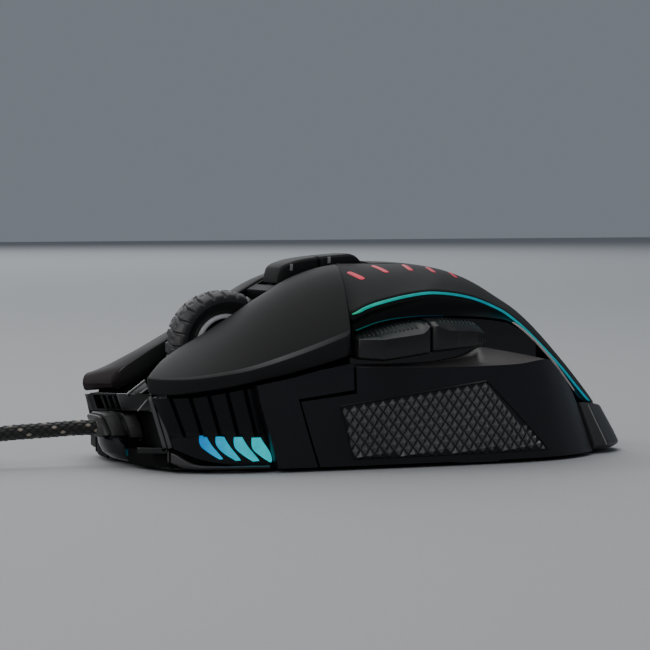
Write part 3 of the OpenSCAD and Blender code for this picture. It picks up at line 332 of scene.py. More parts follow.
M = {
    "soft": moulded("soft_touch_shell", (0.0128, 0.0128, 0.0130), 0.64, vary=0.05, rvary=0.03, grain=5200, bump=0.05, spec=0.22, blotch=25),
    "soft_tip": None,
    "gloss": moulded("gloss_black", (0.0016, 0.0016, 0.002), 0.14, vary=0.1, rvary=0.03, grain=2500, bump=0.01, spec=0.4, coat=0.25, coat_rough=0.08),
    "band": moulded("band_satin", (0.0022, 0.0021, 0.0021), 0.4, vary=0.1, rvary=0.04, grain=4200, bump=0.03, spec=0.22, blotch=40),
    "panel": moulded("panel_satin", (0.0092, 0.0092, 0.0108), 0.33, vary=0.1, rvary=0.05, grain=4200, bump=0.06, spec=0.32, tint=(0.0108, 0.0100, 0.0130), blotch=45),
    # shelf: far lighter than the black shell, a painted sheen standing for the light its upward face reflects
    "shelf": moulded("shelf_satin", (0.135, 0.124, 0.121), 0.3, vary=0.08, rvary=0.05, grain=4200, bump=0.06, spec=0.8, blotch=50),
    "sidekey": moulded("side_key_satin", (0.0082, 0.0082, 0.0085), 0.32, vary=0.12, rvary=0.05, grain=3600, bump=0.1, spec=0.5, speck=0.2, speck_scale=2300),
    "louvre": moulded("louvre_black", (0.0054, 0.0054, 0.0066), 0.34, vary=0.15, rvary=0.06, grain=3600, bump=0.06, spec=0.3),
    "nose": moulded("nose_black", (0.0036, 0.0036, 0.0040), 0.4, vary=0.12, rvary=0.06, grain=3800, bump=0.08, spec=0.42),
    # a near-black, dull coat for sheets put where only shade shows: inner curtains, the nose's back wall, the front
    # foot
    "void": moulded("inner_shade_liner", (0.0012, 0.0012, 0.0013), 0.7, vary=0.1, rvary=0.05, grain=3000, bump=0.05, spec=0.1),
    # pit: darkened below the shell and its gloss turned down, painted shade for the nose, fender, bezel and spine
    # recesses
    "pit": moulded("recess_shade_black", (0.0020, 0.0020, 0.0022), 0.55, vary=0.12, rvary=0.05, grain=3600, bump=0.06, spec=0.08),
    # post: lightened to grey, painted light standing for the light the corner posts catch from the front-left
    "post": moulded("corner_post_painted_light_grey", (0.058, 0.057, 0.058), 0.38, vary=0.1, rvary=0.05, grain=3600, bump=0.08, spec=0.5),
    "chin": moulded("chin_gloss", (0.0030, 0.0032, 0.0052), 0.14, vary=0.12, rvary=0.04, grain=2500, bump=0.02, spec=0.45, coat=0.3),
    # lip: lightened, painted highlight standing for the bright lines along the front lip's edges
    "lip": moulded("front_lip_painted_highlight", (0.046, 0.044, 0.045), 0.3, vary=0.08, rvary=0.06, grain=3800, bump=0.08, spec=0.6),
    # tail: lightened to grey, painted light standing for the light its chamfer catches
    "tail": moulded("tail_grey_painted_light", (0.044, 0.0435, 0.044), 0.42, vary=0.08, rvary=0.05, grain=4200, bump=0.1, spec=0.38),
    "base": moulded("base_spark_eroded", (0.0062, 0.0062, 0.0066), 0.6, vary=0.12, rvary=0.06, grain=3000, bump=0.2, spec=0.3),
    "inner": moulded("inner_moulding", (0.006, 0.006, 0.0065), 0.5, vary=0.1, grain=3200, bump=0.1, spec=0.3),
    # pad: base lightened, painted light standing for the light on the pyramids' lit facets
    "pad": moulded("grip_pad_rubber_painted_light", (0.088, 0.0865, 0.086), 0.3, vary=0.12, rvary=0.06, grain=3800, bump=0.1, spec=0.9, speck=0.3, speck_scale=1700),
    "glide": moulded("glide_film", (0.5, 0.49, 0.46), 0.32, vary=0.05, grain=1800, bump=0.05, spec=0.5, tint=(0.55, 0.54, 0.51)),
    "steel": moulded("plated_steel", (0.5, 0.51, 0.52), 0.32, vary=0.06, grain=2600, bump=0.08, metal=1.0, blotch=300),
    "magnet": moulded("nickel_plate", (0.62, 0.61, 0.59), 0.2, vary=0.05, grain=2600, bump=0.04, metal=1.0, blotch=200),
    "board": moulded("solder_mask", (0.0035, 0.012, 0.006), 0.35, vary=0.2, grain=1400, bump=0.15, blotch=400, tint=(0.005, 0.017, 0.008)),
    "switch": moulded("switch_housing", (0.012, 0.012, 0.013), 0.4, vary=0.1, grain=3000, bump=0.08),
    "nylon": moulded("plain_nylon", (0.68, 0.66, 0.6), 0.42, vary=0.04, grain=2600, bump=0.08),
    "hub": moulded("wheel_hub_plastic", (0.008, 0.008, 0.009), 0.42, vary=0.1, grain=3600, bump=0.1, spec=0.4),
    "tyre": moulded("wheel_rubber", (0.0195, 0.019, 0.020), 0.5, vary=0.14, rvary=0.06, grain=3200, bump=0.16, spec=0.42, speck=0.2, speck_scale=1500),
    "ring": moulded("wheel_ring_silver", (0.93, 0.93, 0.93), 0.34, vary=0.02, grain=3800, bump=0.05, metal=0.35, blotch=250),
    "lens": None,
    # boot: base lightened, painted light standing for the light on the blocks' lit faces and edges
    "boot": moulded("boot_rubber", (0.062, 0.061, 0.060), 0.42, vary=0.14, rvary=0.08, grain=2400, bump=0.3, spec=0.5, speck=0.3, speck_scale=2100),
    "tie": moulded("tie_rubber", (0.014, 0.014, 0.0145), 0.55, vary=0.12, grain=3000, bump=0.2),
    "plug": moulded("plug_satin", (0.014, 0.014, 0.015), 0.4, vary=0.1, grain=3400, bump=0.12, spec=0.45),
    # edge: light grey, painted highlight for the key glints, the fender rails and the tail ridge
    "edge": moulded("painted_highlight_edge", (0.27, 0.265, 0.26), 0.3, vary=0.1, rvary=0.05, grain=3600, bump=0.05, spec=0.6),
    # a pale colour standing for the highlight along the band's lower lip
    "liplight": moulded("pale_lip_line_painted_highlight", (0.62, 0.54, 0.52), 0.35, vary=0.05, rvary=0.05, grain=3600, bump=0.05, spec=0.5),
    "cyan": glow("lit_strip_cyan", (0.03, 0.60, 0.30), (0.0, 0.33, 0.45), "X", -0.0135, 0.046, 0.62,
                 mid=[(0.05, (0.0, 0.56, 0.44)), (0.35, (0.0, 0.42, 0.45)), (0.55, (0.0, 0.34, 0.44)), (0.8, (0.0, 0.42, 0.46))]),
    "windows": glow("lit_windows_blue", (0.0, 0.26, 0.72), (0.0, 0.60, 0.66), "X", -0.0483, -0.0335, 0.85, mid=[(0.25, (0.0, 0.40, 0.70)), (0.65, (0.0, 0.58, 0.70))]),
    "red": glow("lit_bars_red", (0.80, 0.045, 0.09), (0.50, 0.035, 0.065), "X", -0.006, 0.02, 0.75),
    # faint: painted light, the glow the lit strip casts on the recess's top edge
    "faint": glow("recess_edge_painted_strip_light", (0.0, 0.20, 0.17), (0.0, 0.05, 0.12), "X", -0.012, 0.006, 0.4),
    # patch: painted reflection, a teal glow on the glossy chin
    "patch": glow("chin_painted_teal_reflection", (0.0, 0.10, 0.12), (0.0, 0.012, 0.02), "Z", 0.0024, 0.0046, 0.35),
}

# clear lens
m, nt, b = new_mat("clear_lens")
tc = node(nt, "ShaderNodeTexCoord")
ns = node(nt, "ShaderNodeTexNoise", Scale=300.0)
nt.links.new(tc.outputs["Object"], ns.inputs["Vector"])
mr = node(nt, "ShaderNodeMapRange")
mr.inputs["To Min"].default_value, mr.inputs["To Max"].default_value = 0.03, 0.1
nt.links.new(ns.outputs["Fac"], mr.inputs["Value"])
nt.links.new(mr.outputs["Result"], b.inputs["Roughness"])
b.inputs["Base Color"].default_value = (0.85, 0.9, 0.92, 1)
b.inputs["Transmission Weight"].default_value = 0.9
M["lens"] = m

# right button: the same soft coat, warmer and more reddish towards its front tip
m = M["soft"].copy()
m.name = "soft_touch_shell_reddish_tip"
nt = m.node_tree
b = [n for n in nt.nodes if n.type == "BSDF_PRINCIPLED"][0]
tc = [n for n in nt.nodes if n.type == "TEX_COORD"][0]
sep = node(nt, "ShaderNodeSeparateXYZ")
nt.links.new(tc.outputs["Object"], sep.inputs[0])
mr = node(nt, "ShaderNodeMapRange")
for k, v in (("From Min", -0.048), ("From Max", -0.0585), ("To Min", 0.0), ("To Max", 0.85)):
    mr.inputs[k].default_value = v
nt.links.new(sep.outputs[0], mr.inputs["Value"])
mx = nt.nodes.new("ShaderNodeMixRGB")
mx.inputs["Color2"].default_value = (0.030, 0.0175, 0.021, 1)
src = b.inputs["Base Color"].links[0].from_socket
nt.links.new(mr.outputs["Result"], mx.inputs["Fac"])
nt.links.new(src, mx.inputs["Color1"])
nt.links.new(mx.outputs["Color"], b.inputs["Base Color"])
M["soft_tip"] = m


def painted_edge_highlight(name, src_, stops):
    """soft coat with a painted highlight along a moulded edge, standing for light glancing off it; stops are (x in mm,
    lightness 0 to 1)
    """
    m = M[src_].copy()
    m.name = name
    nt = m.node_tree
    b = [n for n in nt.nodes if n.type == "BSDF_PRINCIPLED"][0]
    tc = [n for n in nt.nodes if n.type == "TEX_COORD"][0]
    sep = node(nt, "ShaderNodeSeparateXYZ")
    nt.links.new(tc.outputs["Object"], sep.inputs[0])
    x0, x1 = stops[0][0], stops[-1][0]
    mr = node(nt, "ShaderNodeMapRange")
    mr.inputs["From Min"].default_value, mr.inputs["From Max"].default_value = x0 * S, x1 * S
    nt.links.new(sep.outputs[0], mr.inputs["Value"])
    ramp = nt.nodes.new("ShaderNodeValToRGB")
    while len(ramp.color_ramp.elements) > 1: ramp.color_ramp.elements.remove(ramp.color_ramp.elements[-1])
    ramp.color_ramp.elements[0].position = 0.0
    ramp.color_ramp.elements[0].color = (stops[0][1],) * 3 + (1,)
    for x, v in stops[1:]:
        e = ramp.color_ramp.elements.new((x - x0) / (x1 - x0))
        e.color = (v, v, v, 1)
    nt.links.new(mr.outputs["Result"], ramp.inputs["Fac"])
    mx = nt.nodes.new("ShaderNodeMixRGB")
    mx.inputs["Color2"].default_value = (0.17, 0.168, 0.166, 1)
    src = b.inputs["Base Color"].links[0].from_socket
    nt.links.new(ramp.outputs["Color"], mx.inputs["Fac"])
    nt.links.new(src, mx.inputs["Color1"])
    nt.links.new(mx.outputs["Color"], b.inputs["Base Color"])
    return m


# painted highlight along the left button's outer crease, brightest between x -36 and -25
M["soft_crease"] = painted_edge_highlight("soft_coat_crease_painted_highlight", "soft", [(-60, 0.25), (-50, 0.3), (-42, 0.3), (-36, 0.55), (-31, 0.75), (-25, 0.5), (-14, 0.12)])
# painted highlight along the right button's inner top edge
M["soft_inner"] = painted_edge_highlight("soft_coat_inner_edge_painted_highlight", "soft_tip", [(-58, 0.05), (-54, 0.25), (-51, 0.6), (-46, 0.35), (-40, 0.25), (-30, 0.1)])


def braid_mat():
    """braided sleeve: two families of crossing strands laid out along the cord's own UVs, one strand in four beige"""
    m, nt, b = new_mat("cable_braid")
    uv = node(nt, "ShaderNodeUVMap")
    uv.uv_map = "UVMap"
    sep = node(nt, "ShaderNodeSeparateXYZ")
    nt.links.new(uv.outputs[0], sep.inputs[0])

    def math_(op, a, b_=None, c=None):
        n = nt.nodes.new("ShaderNodeMath")
        n.operation = op
        for i, x in enumerate((a, b_, c)):
            if x is None: continue
            if isinstance(x, (int, float)): n.inputs[i].default_value = x
            else: nt.links.new(x, n.inputs[i])
        return n.outputs[0]

    U, W = sep.outputs[0], sep.outputs[1]          # U counts strand pitches along the cord, W goes 0 to 1 round it
    w8 = math_("MULTIPLY", W, 8.0)
    a = math_("ADD", U, w8)
    c = math_("SUBTRACT", U, w8)
    sa = math_("SINE", math_("MULTIPLY", a, PI))
    sc = math_("SINE", math_("MULTIPLY", c, PI))
    ha = math_("POWER", math_("ABSOLUTE", sa), 0.7)
    hc = math_("POWER", math_("ABSOLUTE", sc), 0.7)
    height = math_("MULTIPLY", ha, hc)
    # which family is on top: a checker of strand counts
    par = math_("MODULO", math_("ADD", math_("FLOOR", a), math_("MULTIPLY", math_("FLOOR", c), 1.0)), 2.0)
    fleck = math_("LESS_THAN", math_("MODULO", math_("ADD", math_("FLOOR", a), 4000.0), 4.0), 1.0)
    fleck = math_("MULTIPLY", fleck, math_("GREATER_THAN", math_("ABSOLUTE", par), 0.5))
    tc = node(nt, "ShaderNodeTexCoord")
    fuzz = node(nt, "ShaderNodeTexNoise", Scale=4500.0, Detail=3.0)
    nt.links.new(tc.outputs["Object"], fuzz.inputs["Vector"])
    mixc = nt.nodes.new("ShaderNodeMixRGB")
    mixc.inputs["Color1"].default_value = (0.014, 0.0135, 0.013, 1)
    mixc.inputs["Color2"].default_value = (0.34, 0.29, 0.235, 1)
    nt.links.new(math_("MULTIPLY", fleck, math_("MULTIPLY", height, 0.9)), mixc.inputs["Fac"])
    # painted shade and highlight: the colour is multiplied down in the grooves between strands and lifted on their
    # crowns
    dark = nt.nodes.new("ShaderNodeMixRGB")
    dark.blend_type = "MULTIPLY"
    dark.inputs["Fac"].default_value = 1.0
    nt.links.new(mixc.outputs[0], dark.inputs["Color1"])
    r = nt.nodes.new("ShaderNodeValToRGB")
    r.color_ramp.elements[0].color, r.color_ramp.elements[1].color = (0.35, 0.35, 0.35, 1), (1.5, 1.5, 1.5, 1)
    r.color_ramp.elements[0].position, r.color_ramp.elements[1].position = 0.0, 0.7
    nt.links.new(math_("MULTIPLY", height, math_("ADD", fuzz.outputs["Fac"], 0.5)), r.inputs["Fac"])
    nt.links.new(r.outputs[0], dark.inputs["Color2"])
    nt.links.new(dark.outputs[0], b.inputs["Base Color"])
    rr = node(nt, "ShaderNodeMapRange")
    rr.inputs["To Min"].default_value, rr.inputs["To Max"].default_value = 0.75, 0.5
    nt.links.new(height, rr.inputs["Value"])
    nt.links.new(rr.outputs["Result"], b.inputs["Roughness"])
    bp = node(nt, "ShaderNodeBump", Strength=0.8, Distance=0.00025)
    nt.links.new(math_("ADD", height, math_("MULTIPLY", fuzz.outputs["Fac"], 0.25)), bp.inputs["Height"])
    nt.links.new(bp.outputs["Normal"], b.inputs["Normal"])
    b.inputs["Sheen Weight"].default_value = 0.25
    b.inputs["Specular IOR Level"].default_value = 0.35
    return m


M["braid"] = braid_mat()


# ------------------------------------------------------------------ mesh helpers
def build(name, verts, faces, mat, body, nodes=(), slot=None, angle=38, bevel=None, uvs=None, loose_clamp=False, min_angle=28):
    """mesh piece from points in millimetres. bevel = (width in mm, segments)"""
    me = bpy.data.meshes.new(name)
    me.from_pydata([(p[0] * S, p[1] * S, p[2] * S) for p in verts], [], faces)
    bm = bmesh.new()
    bm.from_mesh(me)
    if uvs is None:
        bmesh.ops.remove_doubles(bm, verts=bm.verts, dist=3e-6)
        bmesh.ops.dissolve_degenerate(bm, edges=bm.edges, dist=1e-6)
    bmesh.ops.recalc_face_normals(bm, faces=bm.faces)
    if bevel:
        ed = [e for e in bm.edges if len(e.link_faces) == 2 and e.calc_face_angle(0) > math.radians(min_angle)]
        bmesh.ops.bevel(bm, geom=ed, offset=bevel[0] * S, segments=bevel[1], profile=0.5, affect="EDGES", clamp_overlap=not loose_clamp)
        bmesh.ops.recalc_face_normals(bm, faces=bm.faces)
    for f in bm.faces:
        f.smooth = True
    for e in bm.edges:
        e.smooth = not (len(e.link_faces) == 2 and e.calc_face_angle(0) > math.radians(angle))
    if uvs is not None:
        layer = bm.loops.layers.uv.new("UVMap")
        for f in bm.faces:
            for l, q in zip(f.loops, uvs(f)):
                l[layer].uv = q
    bm.to_mesh(me)
    bm.free()
    o = bpy.data.objects.new(name, me)
    bpy.context.scene.collection.objects.link(o)
    me.materials.append(mat)
    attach(o, body)
    if nodes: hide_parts(*nodes)
    return o


def grid_faces(n, m, o=0):
    return [(o + i * m + j, o + i * m + j + 1, o + (i + 1) * m + j + 1, o + (i + 1) * m + j) for i in range(n - 1) for j in range(m - 1)]


def rim(n, m):
    return ([(0, j) for j in range(m - 1)] + [(i, m - 1) for i in range(n - 1)] + [(n - 1, j) for j in range(m - 1, 0, -1)]
            + [(i, 0) for i in range(n - 1, 0, -1)])


def bridge(A, B):
    k = len(A)
    return [(A[i], A[(i + 1) % k], B[(i + 1) % k], B[i]) for i in range(k)]


def merge(*parts):
    vs, fs = [], []
    for v, f in parts:
        o = len(vs)
        vs += list(v)
        fs += [tuple(o + i for i in q) for q in f]
    return vs, fs


def plate_vf(G, d):
    """surface grid G given a thickness along vector d"""
    n, m = len(G), len(G[0])
    vs = [p for r in G for p in r]
    vs += [(p[0] + d[0], p[1] + d[1], p[2] + d[2]) for p in vs]
    R = [i * m + j for i, j in rim(n, m)]
    return vs, grid_faces(n, m) + grid_faces(n, m, n * m) + bridge(R, [r + n * m for r in R])


def loft_vf(rings, closed=True, caps=True):
    n, m = len(rings), len(rings[0])
    vs = [p for r in rings for p in r]
    fs = [(i * m + j, i * m + (j + 1) % m, (i + 1) * m + (j + 1) % m, (i + 1) * m + j) for i in range(n - 1) for j in range(m if closed else m - 1)]
    if caps:
        fs += [tuple(range(m)), tuple((n - 1) * m + j for j in range(m))]
    return vs, fs


def round_ring(P, r, seg=3):
    """closed ring of 3-D corners with each corner rounded; r is one radius or one for each corner"""
    out = []
    k = len(P)
    for i in range(k):
        a, b_, c = Vector(P[i - 1]), Vector(P[i]), Vector(P[(i + 1) % k])
        ri = r[i] if isinstance(r, (list, tuple)) else r
        ta = min(ri, (a - b_).length * 0.45)
        tc_ = min(ri, (c - b_).length * 0.45)
        p0, p2 = b_ + (a - b_).normalized() * ta, b_ + (c - b_).normalized() * tc_
        for q in steps(seg):
            out.append(tuple(p0 * (1 - q) ** 2 + b_ * 2 * q * (1 - q) + p2 * q * q))
    return out


def prism_vf(poly, axis, a, b_):
    """polygon extruded along an axis: 'y' uses (x, z) points, 'z' uses (x, y), 'x' uses (y, z)"""
    def P(q, h):
        return {"y": (q[0], h, q[1]), "z": (q[0], q[1], h), "x": (h, q[0], q[1])}[axis]
    n = len(poly)
    vs = [P(q, a) for q in poly] + [P(q, b_) for q in poly]
    return vs, [tuple(range(n)), tuple(range(n, 2 * n))] + [(i, (i + 1) % n, n + (i + 1) % n, n + i) for i in range(n)]


def box_vf(x0, x1, y0, y1, z0, z1):
    return prism_vf([(x0, y0), (x1, y0), (x1, y1), (x0, y1)], "z", z0, z1)


def revolve_vf(profile, centre, n=96, mod=None, closed=True):
    """profile of (r, y) round an axis along Y through centre (x, z); mod(theta, k, r, y) -> (r, y) shapes it"""
    cx, cz = centre
    rings = []
    for i in range(n):
        t = 2 * PI * i / n
        ring = []
        for k, (r, y) in enumerate(profile):
            if mod: r, y = mod(t, k, r, y)
            ring.append((cx + r * math.cos(t), y, cz + r * math.sin(t)))
        rings.append(ring)
    m = len(profile)
    vs = [p for r in rings for p in r]
    fs = [(i * m + j, i * m + (j + 1) % m, ((i + 1) % n) * m + (j + 1) % m, ((i + 1) % n) * m + j) for i in range(n) for j in range(m if closed else m - 1)]
    return vs, fs


# ------------------------------------------------------------------ the cord, first of the pieces
ROUTE = [(-61.8, 0, 8.3), (-66, 0, 8.3), (-71, 0, 8.1), (-76, 0, 7.9), (-81, 0, 7.7), (-85, 0, 7.2), (-89, 0, 6.2), (-93, -0.2, 4.8),
         (-97, -0.6, 3.6), (-101, -1.3, 2.8), (-105, -2.2, 2.4), (-109, -2.8, 2.4), (-114, -3.2, 2.4)]
CX, CY = -123.0, 20.0
CABLE_R = 1.6
PLUG = (CX - 13, CY - 6, 17.1)


def catmull(P, n):
    out = []
    for i in range(len(P) - 1):
        a, b_, c, d = P[max(i - 1, 0)], P[i], P[i + 1], P[min(i + 2, len(P) - 1)]
        for k in range(n):
            t = k / n
            out.append(tuple(0.5 * (2 * b_[j] + (c[j] - a[j]) * t + (2 * a[j] - 5 * b_[j] + 4 * c[j] - d[j]) * t * t
                                    + (3 * b_[j] - a[j] - 3 * c[j] + d[j]) * t ** 3) for j in range(3)))
    out.append(P[-1])
    return out


def coil_path():
    """turns laid a diameter apart, layer on layer; each turn steps sideways in one short stretch, as a wound coil does"""
    radii = [23.4, 20.0, 16.6, 13.2]
    turns = radii + radii[::-1] + radii + radii[::-1][:3]
    z0, dz = 2.4, 3.1
    out = []
    N = 60
    total = len(turns) * 360 + 65
    for k in range(int(total / 360 * N) + 1):
        th = k * 360 / N
        i = int(th // 360)
        f = th - 360 * i
        cur = turns[min(i, len(turns) - 1)]
        nxt = turns[min(i + 1, len(turns) - 1)]
        layer, nlayer = min(i, len(turns) - 1) // 4, min(i + 1, len(turns) - 1) // 4
        r = mix(cur, nxt, smooth(f, 300, 358))
        z = z0 + dz * mix(layer, nlayer, smooth(f, 215, 300))
        if th > len(turns) * 360 - 60:
            q = smooth(th, len(turns) * 360 - 60, total)
            r = mix(20.0, 14.318, q)
            z = mix(z0 + dz * 3, PLUG[2], smooth(th, len(turns) * 360 - 50, total - 4))
        a = math.radians(-90 - th)
        out.append((CX + r * math.cos(a), CY + r * math.sin(a), z))
    return out


path = catmull(ROUTE, 6) + coil_path()
path = [p for i, p in enumerate(path) if i == 0 or (Vector(p) - Vector(path[i - 1])).length > 0.25]
path = path[:-1] + [(PLUG[0], PLUG[1] + 0.5, PLUG[2])]
# equal steps, fine where the camera sees the braid, coarser in the coil
seg = [0.0]
for i in range(1, len(path)):
    seg.append(seg[-1] + (Vector(path[i]) - Vector(path[i - 1])).length)
CORD_LEN = seg[-1]


def at(s):
    s = clamp(s, 0, CORD_LEN)
    lo_, hi_ = 0, len(seg) - 1
    while hi_ - lo_ > 1:
        mid = (lo_ + hi_) // 2
        if seg[mid] <= s: lo_ = mid
        else: hi_ = mid
    t = (s - seg[lo_]) / max(1e-9, seg[hi_] - seg[lo_])
    return Vector(path[lo_]).lerp(Vector(path[hi_]), t)


ss = [i * 0.22 for i in range(int(46 / 0.22))]
s_ = ss[-1]
while s_ < CORD_LEN - 0.5:
    s_ += 0.95
    ss.append(min(s_, CORD_LEN))
if ss[-1] < CORD_LEN: ss.append(CORD_LEN)
SIDES = 16
STRAND = 1.9               # millimetres along the cord for one strand pitch
rings = []
side = Vector((0, -1, 0))
for k, s in enumerate(ss):
    p = at(s)
    d = (at(s + 0.6) - at(s - 0.6)).normalized()
    side = (side - d * side.dot(d)).normalized()
    up = side.cross(d).normalized()
    ring = []
    for j in range(SIDES):
        t = 2 * PI * j / SIDES
        r = CABLE_R - 0.02
        if s < 45:
            a, c = s / STRAND + 8 * j / SIDES, s / STRAND - 8 * j / SIDES
            hgt = (abs(math.sin(PI * a)) * abs(math.sin(PI * c))) ** 0.7
            r = CABLE_R + (-0.16 + 0.26 * hgt) * smooth(s, 0, 1)
        ring.append(tuple(p + side * (r * math.cos(t)) + up * (r * math.sin(t))))
    rings.append(ring)
cv, cf = loft_vf(rings, caps=False)


def cord_uv(f):
    ids = [v.index for v in f.verts]
    js = [i % SIDES for i in ids]
    wrap = max(js) - min(js) > SIDES / 2
    return [(ss[i // SIDES] / STRAND, (SIDES if (wrap and i % SIDES == 0) else i % SIDES) / SIDES) for i in ids]


nv = len(cv)
cv += [tuple(at(0)), tuple(at(CORD_LEN))]
cf += [(nv, (j + 1) % SIDES, j) for j in range(SIDES)]
cf += [(nv + 1, (len(rings) - 1) * SIDES + j, (len(rings) - 1) * SIDES + (j + 1) % SIDES) for j in range(SIDES)]


def cord_uv_safe(f):
    ids = [v.index for v in f.verts]
    if max(ids) >= nv:
        return [(0.0, 0.0) for _ in ids]
    return cord_uv(f)


cord_obj = build("braided_cable", cv, cf, M["braid"], "body", ("cable_cord", "cable_coil"), "cable_braid", uvs=cord_uv_safe, angle=80)

# plug: overmoulded body with a tapered relief, grip ribs, and a folded steel shell
px, py, pz = PLUG
rings = []
for t, w, h in ((0, 2.1, 2.1), (0.4, 2.25, 2.25), (6.0, 3.0, 3.0), (6.3, 6.2, 3.2), (6.8, 7.2, 3.7), (9, 7.4, 3.8), (22.4, 7.4, 3.8), (22.8, 7.1, 3.55), (23.0, 6.6, 3.2)):
    rr = min(w, h) * (0.98 if t <= 6.0 else 0.45)
    rings.append(round_ring([(px - w, py + t, pz - h), (px + w, py + t, pz - h), (px + w, py + t, pz + h), (px - w, py + t, pz + h)], rr * 1.0, 6))
parts = [loft_vf(rings)]
for k in range(3):
    for sg in (-1, 1):
        parts.append(prism_vf([(px + sg * 7.0, py + 10 + k * 3), (px + sg * 7.55, py + 10.4 + k * 3), (px + sg * 7.55, py + 11.4 + k * 3), (px + sg * 7.0, py + 11.8 + k * 3)], "z", pz - 2.6, pz + 2.6))
plug_body = build("usb_plug_body_detailed", *merge(*parts), M["plug"], "body", ("usb_plug_body",), "plug_black", bevel=(0.12, 2), angle=40)
shell_parts = []
y0, y1 = py + 22.9, py + 34.8
for (a0, a1, c0, c1) in ((-6, 6, 1.95, 2.25), (-6, 6, -2.25, -1.95), (-6, -5.7, -1.95, 1.95), (5.7, 6, -1.95, 1.95)):
    shell_parts.append(box_vf(px + a0, px + a1, y0, y1, pz + c0, pz + c1))
for x in (-3, 3):
    shell_parts.append(box_vf(px + x - 1.0, px + x + 1.0, py + 27.5, py + 29.5, pz + 2.2, pz + 2.32))
plug_shell = build("usb_plug_shell_detailed", *merge(*shell_parts), M["steel"], "body", ("usb_plug_shell",), "plug_steel", bevel=(0.06, 2), angle=30)
tongue = build("usb_plug_tongue", *merge(box_vf(px - 5.6, px + 5.6, y0, y1 - 1.0, pz - 1.9, pz - 0.1)), M["nylon"], "body", (), "nylon", bevel=(0.1, 2))
contacts = build("usb_plug_contacts", *merge(*[box_vf(px + x - 0.55, px + x + 0.55, y0 + 2, y1 - 1.8, pz - 0.12, pz + 0.06) for x in (-3.5, -1.0, 1.0, 3.5)]), M["magnet"], "body", (), "magnet", bevel=(0.03, 1))
# tie: a soft strap round the coil's section at 30 degrees
ta = math.radians(30)
er, et = Vector((math.cos(ta), math.sin(ta), 0)), Vector((-math.sin(ta), math.cos(ta), 0))
tc0 = Vector((CX, CY, 0)) + er * 18.2
loop = round_ring([(-7.3, 0.45, 0), (7.3, 0.45, 0), (7.3, 13.6, 0), (-7.3, 13.6, 0)], 2.2, 6)
rings = []
for wv in (-3.4, -3.1, -1.5, 0, 1.5, 3.1, 3.4):
    k = 0.25 if abs(wv) < 3.3 else 0.1
    rings.append([tuple(tc0 + er * (q[0] + (1 if q[0] > 0 else -1) * k * min(1, abs(q[0]) / 6)) + et * wv + Vector((0, 0, q[1] + (k if q[1] > 7 else -k * 0.6)))) for q in loop])
inner = [[tuple(tc0 + er * (q[0] * 0.955) + et * wv + Vector((0, 0, 7 + (q[1] - 7) * 0.95))) for q in loop] for wv in (3.4, 0, -3.4)]
allr = rings + inner
n_, m_ = len(allr), len(allr[0])
tv = [p for r in allr for p in r]
tf = [(i * m_ + j, i * m_ + (j + 1) % m_, ((i + 1) % n_) * m_ + (j + 1) % m_, ((i + 1) % n_) * m_ + j) for i in range(n_) for j in range(m_)]
tie = build("coil_tie_strap", tv, tf, M["tie"], "body", ("coil_tie",), "tie_rubber", angle=45)
[tuple(c * S for c in p) for p in path]


